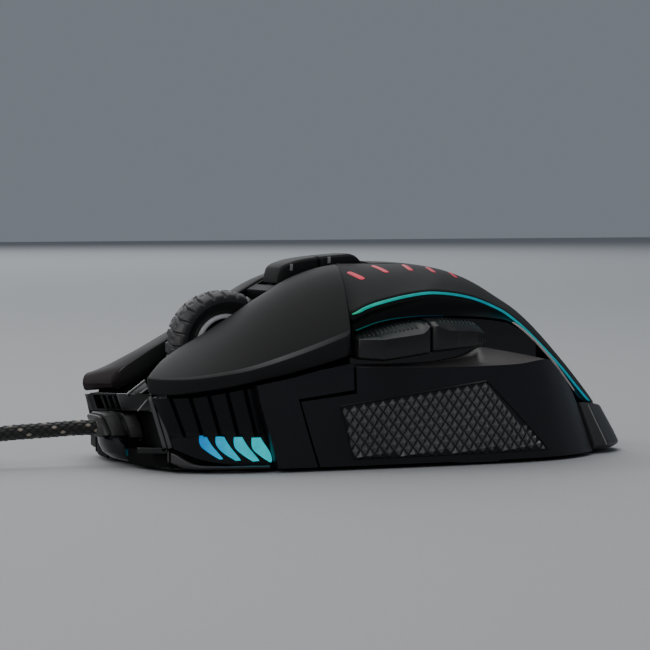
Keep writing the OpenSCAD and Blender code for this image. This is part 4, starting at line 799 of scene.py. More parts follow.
# ------------------------------------------------------------------ covers with rolled edges
def cover_piece(name, T, us, vs, inset_u, inset_v, depth, mat, body, nodes, slot, hu=(0.05, 0.985), hv=(0.08, 0.94), arc=5, t=SHELL_T, draft=0.0, fillet=0.9, vrange=(0, 1), foot=0.4, edge=None):
    """cover whose top surface T(u, v) rolls over a fillet into a wall round its rim, with an inner skin.
    inset_u, inset_v: how far the fillet starts inside each edge, in u and v; depth(u, v, edge) is the wall's depth."""
    v0, v1 = vrange
    U = [mix(inset_u[0], 1 - inset_u[1], u) for u in us]
    Vv = [mix(v0 + inset_v[0], v1 - inset_v[1], v) for v in vs]
    n, m = len(U), len(Vv)
    G = [[T(u, v) for v in Vv] for u in U]
    R = rim(n, m)
    verts = [p for r in G for p in r]
    faces = grid_faces(n, m)
    prev = [i * m + j for i, j in R]
    exact = []
    for i, j in R:
        ue = 0 if i == 0 else 1 if i == n - 1 else U[i]
        ve = v0 if j == 0 else v1 if j == m - 1 else Vv[j]
        e_ = T(ue, ve)
        if i in (0, n - 1) and j in (0, m - 1):      # corner: rounded in plan
            g = G[i][j]
            e_ = tuple(mix(e_[k], g[k], 0.45) for k in range(3))
        exact.append((e_, ue, ve, i, j))
    cxy = Vector((sum(e[0][0] for e in exact) / len(exact), sum(e[0][1] for e in exact) / len(exact), 0))
    rings_ = []
    for q in steps(arc)[1:]:
        ring = []
        for (e_, ue, ve, i, j), p in zip(exact, prev):
            p0, p1 = Vector(verts[p]) if q == steps(arc)[1] else None, Vector(e_)
            p0 = Vector(G[i][j])
            L = min(fillet, (p1 - p0).length)
            p2 = p1 + Vector((0, 0, -L))
            ring.append(tuple(p0 * (1 - q) ** 2 + p1 * 2 * q * (1 - q) + p2 * q * q))
        rings_.append(ring)
    low, lowin, inner = [], [], []
    for (e_, ue, ve, i, j) in exact:
        D = depth(ue, ve, i == 0, i == n - 1, j == 0, j == m - 1)
        h = T(mix(hu[0], hu[1], ue), mix(v0 + hv[0], v1 - (1 - hv[1]), (ve - v0) / (v1 - v0)))
        inward = Vector((h[0] - e_[0], h[1] - e_[1], 0))
        inward = inward.normalized() if inward.length > 1e-6 else Vector((0, 0, 0))
        b0 = Vector(e_) + Vector((0, 0, -D)) + inward * draft * D
        ft = min(foot, 0.35 * D)
        low.append((tuple(b0 + Vector((0, 0, ft))), tuple(b0 + Vector((0, 0, 0.3 * ft)) + inward * 0.3 * ft), tuple(b0 + inward * ft)))
        lowin.append((h[0], h[1], b0[2] + 0.02))
        inner.append((h[0], h[1], h[2] - t))
    rings_ += [[a[0] for a in low], [a[1] for a in low], [a[2] for a in low], lowin, inner]
    for ring in rings_:
        o = len(verts)
        verts += ring
        cur = list(range(o, o + len(ring)))
        faces += bridge(prev, cur)
        prev = cur
    o = len(verts)
    for u in us:
        for v in vs:
            p = T(mix(hu[0], hu[1], u), mix(v0 + hv[0], v1 - (1 - hv[1]), v))
            verts.append((p[0], p[1], p[2] - t))
    faces += grid_faces(n, m, o)
    # tie the inner ring to the inner grid's rim
    faces += bridge(prev, [o + i * m + j for i, j in R])
    ob = build(name, verts, faces, mat, body, nodes, slot, angle=34)
    if edge:
        # the fillet along one long edge takes the painted-highlight coat
        jr = 0 if edge[0] == 0 else m - 1
        ob.data.materials.append(edge[1])
        f0 = len(grid_faces(n, m))
        for b_ in edge[2]:
            for k in range(len(R)):
                if R[k][1] == jr and R[(k + 1) % len(R)][1] == jr and f0 + b_ * len(R) + k < len(ob.data.polygons):
                    ob.data.polygons[f0 + b_ * len(R) + k].material_index = 1
    return ob


def ease(n, a=0.5):
    """0 to 1, a little denser near both ends"""
    return [mix(t, 0.5 - 0.5 * math.cos(PI * t), a) for t in steps(n)]


def lk_depth(ue, ve, front, rear, inner, crease):
    xo = mix(-59, -15.12, ue)
    d = SHELL_T + 0.4
    if front: d = max(d, 3.3)
    if crease: d = max(d, sm(xo, LSK))
    if inner: d = max(d, sm(mix(-50, -8, ue), WI))
    return d


def rk_depth(ue, ve, front, rear, inner, crease):
    xo = mix(-57, -15.12, ue)
    d = SHELL_T + 0.4
    if front: d = max(d, 3.3 + 0.5 * ve)
    if crease: d = max(d, sm(xo, RSK) + 0.5 * smooth(-xo, 50, 57))
    if inner: d = max(d, sm(mix(-53, -8, ue), WI))
    return d


left_btn = cover_piece("left_button_cover", left_key, ease(54, 0.35), ease(44, 0.4), (0.018, 0.006), (0.028, 0.034), lk_depth, M["soft"], "left_key",
                       ("left_button",), "soft_shell", arc=8, fillet=0.8, draft=0.06, foot=0.5, edge=(1, M["soft_crease"], (1, 2, 3, 4)))
right_btn = cover_piece("right_button_cover", right_key, ease(54, 0.35), ease(44, 0.4), (0.055, 0.006), (0.016, 0.034), rk_depth, M["soft_tip"], "right_key",
                        ("right_button",), "soft_shell", arc=8, fillet=2.2, draft=0.05, foot=1.2, edge=(0, M["soft_inner"], (2, 3, 4)))


def palm_depth(ue, ve, front, rear, left, right):
    if rear: return 0.55
    return SHELL_T + 0.3


PU = sorted(set([0.0, 0.012, 0.03, 0.05] + [0.05 + 0.95 * t for t in ease(60, 0.25)]))
PVS = sorted(set([-1 + 2 * t for t in ease(84, 0.35)] + [-0.252, -0.245, -0.2405, -0.2395, -0.236, -0.23, 0.19, 0.1955, 0.1965, 0.2, 0.206]))
PV01 = [(v + 1) / 2 for v in PVS]
def palm_v(u, v):
    """the palm's surface, swelling very slightly over the two rear frame posts"""
    x, y, z = palm(u, v)
    return (x, y, z + 0.4 * math.exp(-((x - 36) ** 2 + (abs(y) - 12.8) ** 2) / 40))


palm_cover = cover_piece("palm_cover", palm_v, PU, PV01, (0.0, 0.006), (0.022, 0.02), palm_depth, M["soft"], "body", ("palm_shell",), "soft_shell",
                         hu=(0.03, 0.97), hv=(0.07, 0.94), arc=5, fillet=0.6, vrange=(-1, 1))


# ------------------------------------------------------------------ light strips, band, recess
def strip(E, x0, x1, sg, name, nodes, n=90):
    rings = []
    for u in steps(n):
        x = mix(x0, x1, u)
        y, z = sm(x, col(E, 1)), sm(x, col(E, 2))
        h = mix(0.62, 0.5, smooth(u, 0.0, 0.6))
        if u < 0.03: h *= 0.35 + 0.65 * u / 0.03
        if u > 0.985: h *= 0.4 + 0.6 * (1 - u) / 0.015
        top = z - 0.32
        rings.append(round_ring([(x, y - sg * 0.3, top), (x, y + sg * 0.62, top), (x, y + sg * 0.62, top - h), (x, y - sg * 0.3, top - h)], [0.05, 0.22, 0.22, 0.05], 3))
    return build(name, *loft_vf(rings), M["cyan"], "body", nodes, "light_cyan", angle=50)


strip(LE, -13.2, 50.4, -1, "palm_light_left", ("palm_light_strip_left",))
strip(RE, -14.4, 48.8, 1, "palm_light_right", ("palm_light_strip_right",))

rings = []
for u in steps(80):
    xa, xb = mix(-13.3, 50.2, u), mix(-12.3, 46, u)
    a = Vector((xa, sm(xa, col(LE, 1)) - 0.05, sm(xa, col(LE, 2)) - 0.95))
    b_ = Vector((xb, sm(xb, col(LB, 1)) - 0.1, sm(xb, col(LB, 2))))
    ring = []
    for q in steps(10):
        p = a.lerp(b_, q) + Vector((0, 0.5 * math.sin(PI * q), 0))
        ring.append(tuple(p))
    ring += [tuple(b_ + Vector((0, 0.9, 0.25))), tuple((a + b_) / 2 + Vector((0, 1.9, 0))), tuple(a + Vector((0, 1.1, -0.1)))]
    rings.append(ring)
build("dark_band_left", *loft_vf(rings), M["band"], "body", ("palm_band_left",), "gloss_band", angle=50)
# painted light: a thin glowing line along the recess's top edge for the strip's light falling on it
rings = []
for u in steps(40):
    x = mix(-11.8, 9.5, u)
    y, z = sm(x, col(LB, 1)) - 0.12, sm(x, col(LB, 2)) + 0.05
    r = 0.13 * (1 - 0.6 * u)
    rings.append([(x, y + r * math.cos(t * PI / 4), z + r * math.sin(t * PI / 4)) for t in range(8)])
build("recess_edge_painted_light", *loft_vf(rings), M["faint"], "body", (), "light_cyan", angle=60)

# painted highlight: a pale line from the recess down to the tail, along the band's lower edge
rings = []
for u in steps(60):
    x = mix(26.4, 44.6, u)
    y, z = sm(x, col(LB, 1)) - 0.25, sm(x, col(LB, 2)) + 0.1
    r = 0.26 * math.sin(PI * clamp(u * 0.94 + 0.03)) ** 0.25
    rings.append([(x + r * 0.5 * math.cos(t * PI / 4), y + 0.7 * r * math.sin(t * PI / 4), z + r * math.cos(t * PI / 4)) for t in range(8)])
build("band_lower_lip_highlight_line", *loft_vf(rings), M["liplight"], "body", (), "gloss_band", angle=60)

# ------------------------------------------------------------------ centre spine and resolution keys
rings = []
for u in steps(96):
    x = mix(-24, -0.3, u)
    z = sm(x, SP)
    d_ = 1.15 * smooth(x, -21.9, -21.5)
    rings.append(round_ring([(x, -5.9, z - 2.2), (x, 5.9, z - 2.2), (x, 5.9, z - 0.05), (x, 5.0, z - 0.05), (x, 4.9, z - 0.05 - d_), (x, -4.9, z - 0.05 - d_), (x, -5.0, z - 0.05), (x, -5.9, z - 0.05)], [0.1, 0.1, 0.3, 0.05, 0.05, 0.05, 0.05, 0.3], 3))
build("centre_spine_cover", *loft_vf(rings), M["pit"], "body", ("centre_spine",), "inner_black", bevel=(0.12, 2), min_angle=60)


def res_key(name, stations, top, nodes, body):
    """resolution key with a crowned top and flat sides; stations are (x, half width)"""
    rings = []
    for x, w in stations:
        z = sm(x, top)
        zb = sm(x, SP) - 0.25
        zs = max(zb + 0.3, z - 0.62)
        rings.append([(x, -w, zb), (x, -w, zs), (x, -w + 0.5, z - 0.14), (x, -w * 0.45, z), (x, w * 0.45, z), (x, w - 0.5, z - 0.14), (x, w, zs), (x, w, zb)])
    return build(name, *loft_vf(rings), M["soft"], body, nodes, "soft_shell", bevel=(0.16, 3), min_angle=20, angle=42)


UPZ = [[-20.9, 39.9], [-20.7, 41.2], [-20.3, 42.2], [-19.6, 42.75], [-18.4, 43.25], [-15.7, 44.0], [-11.3, 44.62]]
res_key("resolution_key_front", [(-20.9, 3.7), (-20.7, 3.9), (-20.3, 4.1), (-19.6, 4.4), (-18.9, 4.5), (-18.4, 4.55), (-17, 4.55), (-15.7, 4.55), (-14, 4.55), (-12.6, 4.55), (-11.35, 4.55)],
        UPZ, ("dpi_up_button",), "dpi_up_key")
res_key("resolution_key_rear", [(-10.6, 4.2), (-10.2, 4.5), (-8, 4.55), (-6, 4.55), (-4.5, 4.55), (-3.2, 4.55), (-2.4, 4.5), (-1.6, 4.4), (-1.0, 4.2), (-0.35, 3.8)],
        [[-10.6, 44.55], [-10.2, 44.7], [-6, 45.02], [-4.9, 45.1], [-3.2, 45.1], [-2.4, 44.8], [-1.6, 44.3], [-1.0, 43.75], [-0.35, 43.2]], ("dpi_down_button",), "dpi_down_key")


# painted highlights: bright flats on the keys' thumb side standing for glints of light on them
build("resolution_key_front_painted_glint", *plate_vf([[(mix(-18.0, -17.35, u) - 0.12 * (1 - v), -4.62, mix(41.5, 42.95, v)) for v in steps(3)] for u in steps(3)], (0, 0.3, 0)), M["edge"], "dpi_up_key", (), "soft_shell", bevel=(0.05, 2), min_angle=60)
build("resolution_key_rear_painted_glint", *plate_vf([[(mix(-9.0, -8.3, u) - 0.12 * (1 - v), -4.62, mix(43.0, 44.45, v)) for v in steps(3)] for u in steps(3)], (0, 0.3, 0)), M["edge"], "dpi_down_key", (), "soft_shell", bevel=(0.05, 2), min_angle=60)


def crown(x, y):
    """height of the palm cover's top surface at (x, y) on the thumb side"""
    def on(T, u0, u1, va, vb):
        # v is found from y at each u, u from x, both by halving
        def v_at(u):
            a, b2 = va, vb
            for _ in range(40):
                c = (a + b2) / 2
                if abs(T(u, c)[1]) < abs(y): a = c
                else: b2 = c
            return (a + b2) / 2
        a, b2 = u0, u1
        for _ in range(40):
            c = (a + b2) / 2
            if T(c, v_at(c))[0] < x: a = c
            else: b2 = c
        u = (a + b2) / 2
        return T(u, v_at(u)), u
    p, u = on(palm, 0.0, 1.0, 0.0, -1.0)
    return p[2]


BARS = [((-8.1, -13.4), (-6.3, -17.4), 1.45), ((-0.3, -9.2), (0.75, -14.5), 1.3), ((7.9, -7.6), (7.3, -12.9), 1.25), ((13.7, -7.6), (13.0, -12.7), 1.15), ((19.2, -7.6), (18.2, -13.0), 1.05)]
parts = []
for (ax_, ay_), (bx_, by_), wd in BARS:
    d_ = Vector((bx_ - ax_, by_ - ay_)).normalized()
    n2 = Vector((-d_[1], d_[0]))
    G = []
    for u in (0, 0.03, 0.08, 0.15, 0.3, 0.5, 0.7, 0.85, 0.92, 0.97, 1):
        e_ = min(u, 1 - u)
        k = 1.0 if e_ > 0.15 else math.sqrt(max(0.0, 1 - (1 - e_ / 0.15) ** 2)) * 0.55 + 0.45
        row = []
        for v in steps(4):
            x = mix(ax_, bx_, u) + n2[0] * wd * k * (v - 0.5)
            y = mix(ay_, by_, u) + n2[1] * wd * k * (v - 0.5)
            row.append((x, y, crown(x, y) + 0.10 - 0.05 * abs(2 * v - 1) ** 3))
        G.append(row)
    parts.append(plate_vf(G, (0, 0, -0.5)))
build("indicator_bars", *merge(*parts), M["red"], "body", ("dpi_indicator_lens",), "light_red", angle=50)


# ------------------------------------------------------------------ scroll wheel
WX, WZ = -32.6, 25.2
TREADS = 25


def tyre_mod(t, k, r, y):
    """crowned tyre with shallow zigzag grooves between its blocks"""
    if r > 9.7:
        r -= 0.052 * y * y * smooth(r, 9.7, 11.0)
    zig = clamp((y + 1.7) / 3.4) * 0.42
    a = (t / (2 * PI) * TREADS + zig) % 1.0
    notch = 1 - smooth(abs(a - 0.5), 0.07, 0.14)
    reach = 1 - smooth(abs(y), 4.5, 4.78)
    if r > 10.3:
        r -= 0.5 * notch * max(reach, 0.5) * smooth(r, 10.3, 10.8)
    if 10.9 < r:
        b = (t / (2 * PI) * TREADS + zig + 0.5) % 1.0
        dim = (1 - smooth(abs(b - 0.5), 0.1, 0.2)) * (1 - smooth(abs(abs(y) - 1.7), 0.25, 0.6))
        r -= 0.22 * dim
    return r, y


prof = [(7.3, -3.3), (7.6, -3.6), (8.2, -4.0), (9.0, -4.4), (9.8, -4.7), (10.6, -4.8), (11.3, -4.78), (11.9, -4.7), (12.2, -4.45), (12.2, -4.1), (12.2, -3.6), (12.2, -3.1), (12.2, -2.6), (12.2, -2.1), (12.2, -1.7),
        (12.2, -1.3), (12.2, -0.9), (12.2, -0.45), (12.2, 0.0)]
prof = prof + [(r, -y) for r, y in prof[-2::-1]]
build("wheel_tread", *revolve_vf(prof, (WX, WZ), TREADS * 18, tyre_mod), M["tyre"], "wheel", ("wheel_tyre",), "wheel_rubber", angle=36)
parts = []
for sg in (-1, 1):
    rp = [(6.0, sg * 3.2), (6.05, sg * 3.6), (6.2, sg * 3.8), (6.6, sg * 3.86), (6.9, sg * 3.78), (7.05, sg * 3.55), (7.1, sg * 3.2)]
    parts.append(revolve_vf(rp, (WX, WZ), 120))
build("wheel_ring_inlays", *merge(*parts), M["ring"], "wheel", ("wheel_rim_ring",), "wheel_ring", angle=40)
hubp = [(1.52, -4.9), (3.0, -4.9), (3.2, -4.7), (3.2, -3.2), (3.4, -3.0), (4.4, -2.9), (5.1, -3.0), (5.3, -3.3), (7.3, -3.3), (7.3, 3.3), (5.3, 3.3), (5.1, 3.0), (4.4, 2.9), (3.4, 3.0), (3.2, 3.2), (3.2, 4.7), (3.0, 4.9), (1.52, 4.9)]


def hub_mod(t, k, r, y):
    s = 0.5 + 0.5 * math.cos(8 * t)
    if 4.0 < r < 4.8: y *= 1 - 0.3 * smooth(s, 0.3, 0.8)
    return r, y


build("wheel_hub_detailed", *revolve_vf(hubp, (WX, WZ), 144, hub_mod), M["hub"], "wheel", ("wheel_hub",), "wheel_plastic", angle=40)

# ------------------------------------------------------------------ thumb buttons


def side_key(name, st, node_, body, ribs, rib_z):
    """faceted key. st rows: x, y of the face, bottom z, face top z, facet top z and y, crown z"""
    rings = []
    for x, y, zb, zf, zu, yu, zc in st:
        rings.append([(x, -25.6, zb + 0.3), (x, y + 0.9, zb), (x, y, zb + 0.55), (x, y, zf), (x, yu, zu), (x, mix(yu, -25.6, 0.55), mix(zu, zc, 0.8)), (x, -25.6, zc)])
    parts = [loft_vf(rings)]

    def face_at(x):
        for a, b_ in zip(st, st[1:]):
            if a[0] <= x <= b_[0]:
                t = (x - a[0]) / (b_[0] - a[0])
                return [mix(a[k], b_[k], t) for k in range(7)]
        return st[-1]

    for x in ribs:
        _, y, zb, zf, zu, yu, zc = face_at(x)
        ym = mix(yu, -25.6, 0.55)
        zm = mix(zu, zc, 0.8)
        lift = 0.17
        parts.append(prism_vf([(yu + 0.25, zu - 0.5), (yu + 0.2, zu + 0.02), (yu + 0.45, mix(zu, zm, 0.2) + lift), (ym, zm + lift), (-25.7, zc + lift), (-25.7, zu - 0.5)], "x", x - 0.24, x + 0.24))
    return build(name, *merge(*parts), M["sidekey"], body, (node_,), "side_key", bevel=(0.13, 2), min_angle=14, angle=30)


side_key("forward_thumb_key", [
    [-13.6, -29.6, 23.5, 27.4, 27.6, -28.4, 27.9], [-13.2, -30.3, 23.2, 27.5, 27.8, -28.9, 28.1], [-8.0, -31.85, 22.75, 27.45, 28.15, -30.0, 29.7], [-7.9, -31.85, 22.75, 27.45, 28.15, -30.0, 29.7],
    [-3, -31.85, 23.35, 28.0, 28.85, -30.1, 30.7], [1.2, -31.75, 23.9, 28.5, 29.45, -30.1, 31.15], [2.2, -31.7, 24.0, 29.2, 30.2, -29.9, 31.25], [2.8, -31.6, 24.1, 30.0, 30.8, -29.6, 31.2], [3.0, -31.4, 24.3, 30.0, 30.9, -29.4, 31.2]],
    "forward_side_button", "forward_key", [-12.2 + 0.98 * i for i in range(14)], 0)
side_key("back_thumb_key", [
    [3.5, -30.9, 24.6, 29.8, 30.6, -29.4, 31.3], [3.8, -31.3, 24.4, 30.0, 30.9, -29.6, 31.5], [4.8, -31.75, 24.5, 30.1, 31.0, -29.9, 31.6], [5.6, -31.6, 24.55, 29.6, 30.9, -29.8, 31.6], [7.6, -31.65, 24.7, 29.0, 30.8, -29.7, 31.6],
    [9.2, -31.75, 24.85, 29.0, 30.6, -29.6, 31.5], [9.35, -31.7, 24.9, 28.95, 30.55, -29.6, 31.5], [13.6, -30.8, 25.15, 28.75, 30.1, -28.9, 31.0], [16.2, -29.9, 25.5, 28.5, 29.6, -28.2, 30.4], [17.3, -29.1, 25.9, 28.2, 29.1, -27.6, 29.7], [17.8, -28.1, 26.3, 27.8, 28.4, -27.0, 28.9]],
    "back_side_button", "back_key", [6.4 + 0.98 * i for i in range(10)], 0)
parts = []
for i in range(4):
    x = 15.3 + i * 0.62
    y = sm(x, [[13.6, -30.8], [16.2, -29.9], [17.3, -29.1], [17.8, -28.1]]) - 0.1
    parts.append(box_vf(x - 0.16, x + 0.16, y, y + 0.5, 26.2, 28.2))
build("back_thumb_key_end_ribs", *merge(*parts), M["sidekey"], "back_key", (), "side_key", bevel=(0.05, 2), angle=40)


# ------------------------------------------------------------------ thumb grip: panel, ledge, rubber pad
def gtop(s):
    return sm(s, [[0.3, 21.6], [0.45, 21.3], [0.55, 21.15], [0.62, 21.2], [0.72, 21.4], [0.8, 22.0], [0.845, 21.9], [0.88, 20.4], [0.92, 16.6], [0.953, 12.6]])


def grip(u, v):
    if v <= 0.6: z, xf = mix(0.9, 15, v / 0.6), mix(-22.8, -26.9, v / 0.6)
    elif v <= 0.64: z, xf = mix(15, 16.4, (v - 0.6) / 0.04), mix(-26.9, -14.1, (v - 0.6) / 0.04)
    else: z, xf = 16.4, -14.1
    s = mix(s_of(LW, xf), 0.944, u)
    zt = gtop(s)
    zn = mix(mix(0.9, 15, min(v / 0.6, 1)), 16.4, 0 if v <= 0.6 else min((v - 0.6) / 0.04, 1))
    sq = min(1, zt / 22)
    zz = 0.9 + (zn - 0.9) * sq if v <= 0.64 else mix(0.9 + 15.5 * sq, zt, (v - 0.64) / 0.36)
    return wall(LW, s, zz)


US = [0, 0.004, 0.012] + [0.012 + 0.988 * t for t in steps(64)[1:]]
VS = [0.0, 0.02, 0.06, 0.12, 0.2, 0.28, 0.36, 0.44, 0.52, 0.57, 0.59, 0.6, 0.64, 0.655, 0.68, 0.72, 0.78, 0.84, 0.9, 0.95, 0.98, 1.0]
G = [[grip(u, v) for v in VS] for u in US]
build("thumb_grip_panel", *plate_vf(G, (0, 1.9, 0)), M["panel"], "thumb_grip", ("side_grip_panel",), "panel_satin", bevel=(0.5, 4), min_angle=40, angle=34)


def shelf(u, v):
    s = mix(s_of(LW, -13.4), 0.83, u)
    p = wall(LW, s, gtop(s))
    zi = sm(s, [[0.3, 21.8], [0.5, 22.0], [0.56, 22.6], [0.6, 23.4], [0.635, 24.9], [0.655, 24.9], [0.68, 24.5], [0.72, 23.9], [0.78, 22.95], [0.83, 22.1]])
    yi = sm(s, [[0.3, -25], [0.6, -25], [0.66, -24.4], [0.78, -24.3], [0.83, -24.8]])
    y0 = p[1] + 0.2
    return (p[0], mix(y0, yi, v), mix(p[2] + 0.02, zi, v ** 1.25))


G = [[shelf(u, v) for v in steps(12)] for u in steps(90)]
build("thumb_ledge", *plate_vf(G, (0, 0, -1.0)), M["shelf"], "thumb_grip", ("thumb_shelf",), "shelf_satin", bevel=(0.2, 3), min_angle=45, angle=34)


def pad_piece(name, P, W, sg, body, nodes, pitch=(2.27, 2.86)):
    """rubber pad: a rimmed sheet with staggered four-sided pyramids"""
    def q(u, v):
        return (mix(mix(P[3][0], P[2][0], u), mix(P[0][0], P[1][0], u), v), mix(mix(P[3][1], P[2][1], u), mix(P[0][1], P[1][1], u), v))

    def on(x, z, out):
        w = wall(W, s_of2(W, x, z), z)
        return (w[0], w[1] + sg * out, z)
    # base sheet with a raised, rounded rim
    us = sorted(set([0, 0.004, 0.010, 0.016, 0.022, 0.978, 0.984, 0.99, 0.996, 1] + steps(36)))
    vs = sorted(set([0, 0.014, 0.035, 0.05, 0.07, 0.93, 0.95, 0.965, 0.986, 1] + steps(10)))
    G = []
    for u in us:
        row = []
        for v in vs:
            x, z = q(u, v)
            du, dv = min(u, 1 - u) * 47, min(v, 1 - v) * 14
            d = min(du, dv)
            h = 0.02 + 0.3 * (1 - smooth(d, 0.28, 0.5)) * smooth(d, -0.05, 0.14)
            row.append(on(x, z, h))
        G.append(row)
    build(name.replace("pyramids", "sheet"), *plate_vf(G, (0, -sg * 0.6, 0)), M["panel"], body, (), "grip_rubber", angle=30)
    parts = []
    # inside test against the four-sided outline, inset
    C = [Vector(p) for p in (P[0], P[1], P[2], P[3])]
    cen = sum(C, Vector((0, 0))) / 4

    def inset(x, z):
        d = 1e9
        for i in range(4):
            a, b_ = C[i], C[(i + 1) % 4]
            e_ = (b_ - a).normalized()
            nn = Vector((-e_[1], e_[0]))
            if (cen - a).dot(nn) < 0: nn = -nn
            d = min(d, (Vector((x, z)) - a).dot(nn))
        return d
    # rows follow the pad's slant
    ax = Vector((P[1][0] - P[0][0], P[1][1] - P[0][1])).normalized()
    az = Vector((0.0, 1.0))
    o = Vector((P[0][0], P[0][1]))
    vs_, fs_ = [], []
    for r in range(-22, 6):
        for c in range(-8, 30):
            p = o + ax * ((c + 0.5 * (r % 2)) * pitch[0]) + az * (r * pitch[1] * 0.5)
            corners = [p + ax * (-pitch[0] / 2), p + az * (pitch[1] / 2), p + ax * (pitch[0] / 2), p - az * (pitch[1] / 2)]
            if inset(p[0], p[1]) < 0.3: continue
            cs = []
            for k in corners:
                kk = Vector(k)
                for _ in range(14):
                    if inset(kk[0], kk[1]) >= 0.2: break
                    kk = kk.lerp(p, 0.12)
                cs.append(p + (kk - p) * 0.94)
            i0 = len(vs_)
            vs_ += [on(k[0], k[1], -0.05) for k in cs]
            top = [p + (k - p) * 0.1 for k in cs]
            hh = 0.86 * min(1.0, 0.45 + 0.55 * (inset(p[0], p[1]) - 0.3))
            vs_ += [on(k[0], k[1], hh) for k in top]
            fs_ += [(i0 + j, i0 + (j + 1) % 4, i0 + 4 + (j + 1) % 4, i0 + 4 + j) for j in range(4)]
            fs_ += [(i0 + 4, i0 + 5, i0 + 6, i0 + 7), (i0 + 3, i0 + 2, i0 + 1, i0)]
    parts.append((vs_, fs_))
    return build(name, *merge(*parts), M["pad"], body, nodes, "grip_rubber", angle=30)


pad_piece("thumb_grip_pad_pyramids", PADL, LW, -1, "thumb_grip", ("side_grip_pad",))
pad_piece("right_grip_pad_pyramids", PADR, RW, 1, "body", ("right_grip_pad",))


# ------------------------------------------------------------------ right side panel, front side panel
def rtop(s):
    return sm(s, [[0, 15.8], [0.06, 16.2], [0.15, 17.6], [0.3, 20], [0.42, 21.8], [0.5, 22.1], [0.6, 21.1], [0.7, 18.9], [0.8, 15.9], [0.88, 13.2], [0.953, 10.2]])


G = [[wall(RW, mix(mix(0.075, 0.02, v), 0.953, u), mix(0.9, rtop(mix(mix(0.075, 0.02, v), 0.953, u)), v)) for v in steps(16)] for u in steps(70)]
build("right_side_cover", *plate_vf(G, (0, -1.9, 0)), M["panel"], "body", ("right_side_panel",), "panel_satin", bevel=(0.35, 3), min_angle=40, angle=34)

FP = [[0.9, -32.1, -23.3], [7, -33.7, -25.1], [15.3, -36.2, -27.5], [16.9, -36.4, -14.7], [18.6, -36.8, -14.7]]


def fpanel(u, v):
    i = min(int(v), 4)
    k = v - i
    a, b_ = FP[i], FP[min(i + 1, 4)]
    r = [mix(a[j], b_[j], k) for j in range(3)]
    x = mix(r[1], r[2], u)
    z = r[0] if v <= 3 else mix(16.9, sm(x, [[-37, 18.2], [-30, 19.4], [-22, 21.2], [-14, 22.6]]), v - 3)
    return wall(LW, s_of(LW, x), z)


G = [[fpanel(u, v) for v in (0, 0.25, 0.5, 0.75, 1, 1.3, 1.6, 1.85, 2, 3, 3.15, 3.4, 3.7, 4)] for u in steps(30)]
build("front_side_cover_left", *plate_vf(G, (0, 1.9, 0)), M["panel"], "body", ("front_side_panel_left",), "panel_satin", bevel=(0.5, 4), min_angle=40, angle=34)


# ------------------------------------------------------------------ front end
def grille_piece(name, sg, nodes):
    SL = 6
    def T(u, v):
        if sg > 0: u = 0.1 + 0.9 * u
        top, bot = mix(-57.6, -34.56, u), mix(-53.4, -30.6, u)
        x = mix(bot, top, v)
        zt = sm(top, [[-58, 15.9], [-50, 15.9], [-44, 16.6], [-38, 17.6], [-34, 18.3]])
        if sg > 0: zt = sm(top, [[-58, 13.6], [-54, 13.9], [-50, 14.4], [-44, 15.0], [-38, 15.8], [-34, 16.5]])
        zb = sm(bot, [[-54, 5.6], [-48, 3], [-40, 1.6], [-34, 1.2], [-30, 1.2]])
        z = mix(zb, zt, v)
        k = u * SL
        w = k - math.floor(min(k, SL - 0.001))
        slat = (1 - w * 0.9) if w < 0.87 else 0.0
        deep = smooth(z, 7.4, 8.4)
        y = sm(x, FG) - 0.9 * mix(0.45, slat, deep) + 0.5 + 0.75 * deep * (1 if w >= 0.87 else 0) - 0.25 * deep
        return (x, -sg * y, z)
    us = []
    for i in range(SL):
        us += [(i + (0 if i == 0 else 0.004)) / SL] + [(i + t) / SL for t in (0.04, 0.1, 0.2, 0.4, 0.6, 0.75, 0.85, 0.885, 0.94)]
    us.append(1)
    G = [[T(u, v) for v in steps(34)] for u in us]
    return build(name, *plate_vf(G, (0, -sg * 1.2, 0)), M["louvre"], "body", nodes, "louvre_black", bevel=None, angle=24)


grille_piece("louvre_wall_left", -1, ("front_grille_left",))
grille_piece("louvre_wall_right", 1, ("front_grille_right",))


WIN = [([(-48.3, 8.0), (-48.3, 6.75), (-47.9, 5.7), (-47.05, 4.95), (-45.6, 3.9), (-44.0, 2.95)], [(-46.85, 8.0), (-46.4, 7.1), (-45.6, 5.85), (-44.5, 4.55), (-43.7, 3.6), (-43.3, 3.05)]),
       ([(-44.85, 7.75), (-44.85, 6.45), (-44.4, 5.5), (-43.65, 4.65), (-42.4, 3.7), (-40.6, 2.6)], [(-43.1, 7.75), (-42.6, 6.85), (-41.75, 5.55), (-40.7, 4.25), (-39.85, 3.2), (-39.5, 2.65)]),
       ([(-41.0, 7.55), (-41.0, 6.35), (-40.7, 5.3), (-39.8, 4.35), (-38.55, 3.4), (-36.9, 2.35)], [(-39.2, 7.55), (-38.75, 6.75), (-37.9, 5.45), (-36.8, 4.15), (-35.85, 3.0), (-35.5, 2.45)]),
       ([(-37.15, 7.35), (-37.15, 5.85), (-36.8, 4.8), (-35.75, 3.85), (-34.4, 2.85), (-33.2, 2.1)], [(-35.2, 7.35), (-34.65, 6.4), (-33.75, 5.15), (-33.1, 4.05), (-32.75, 2.8), (-32.8, 2.15)])]


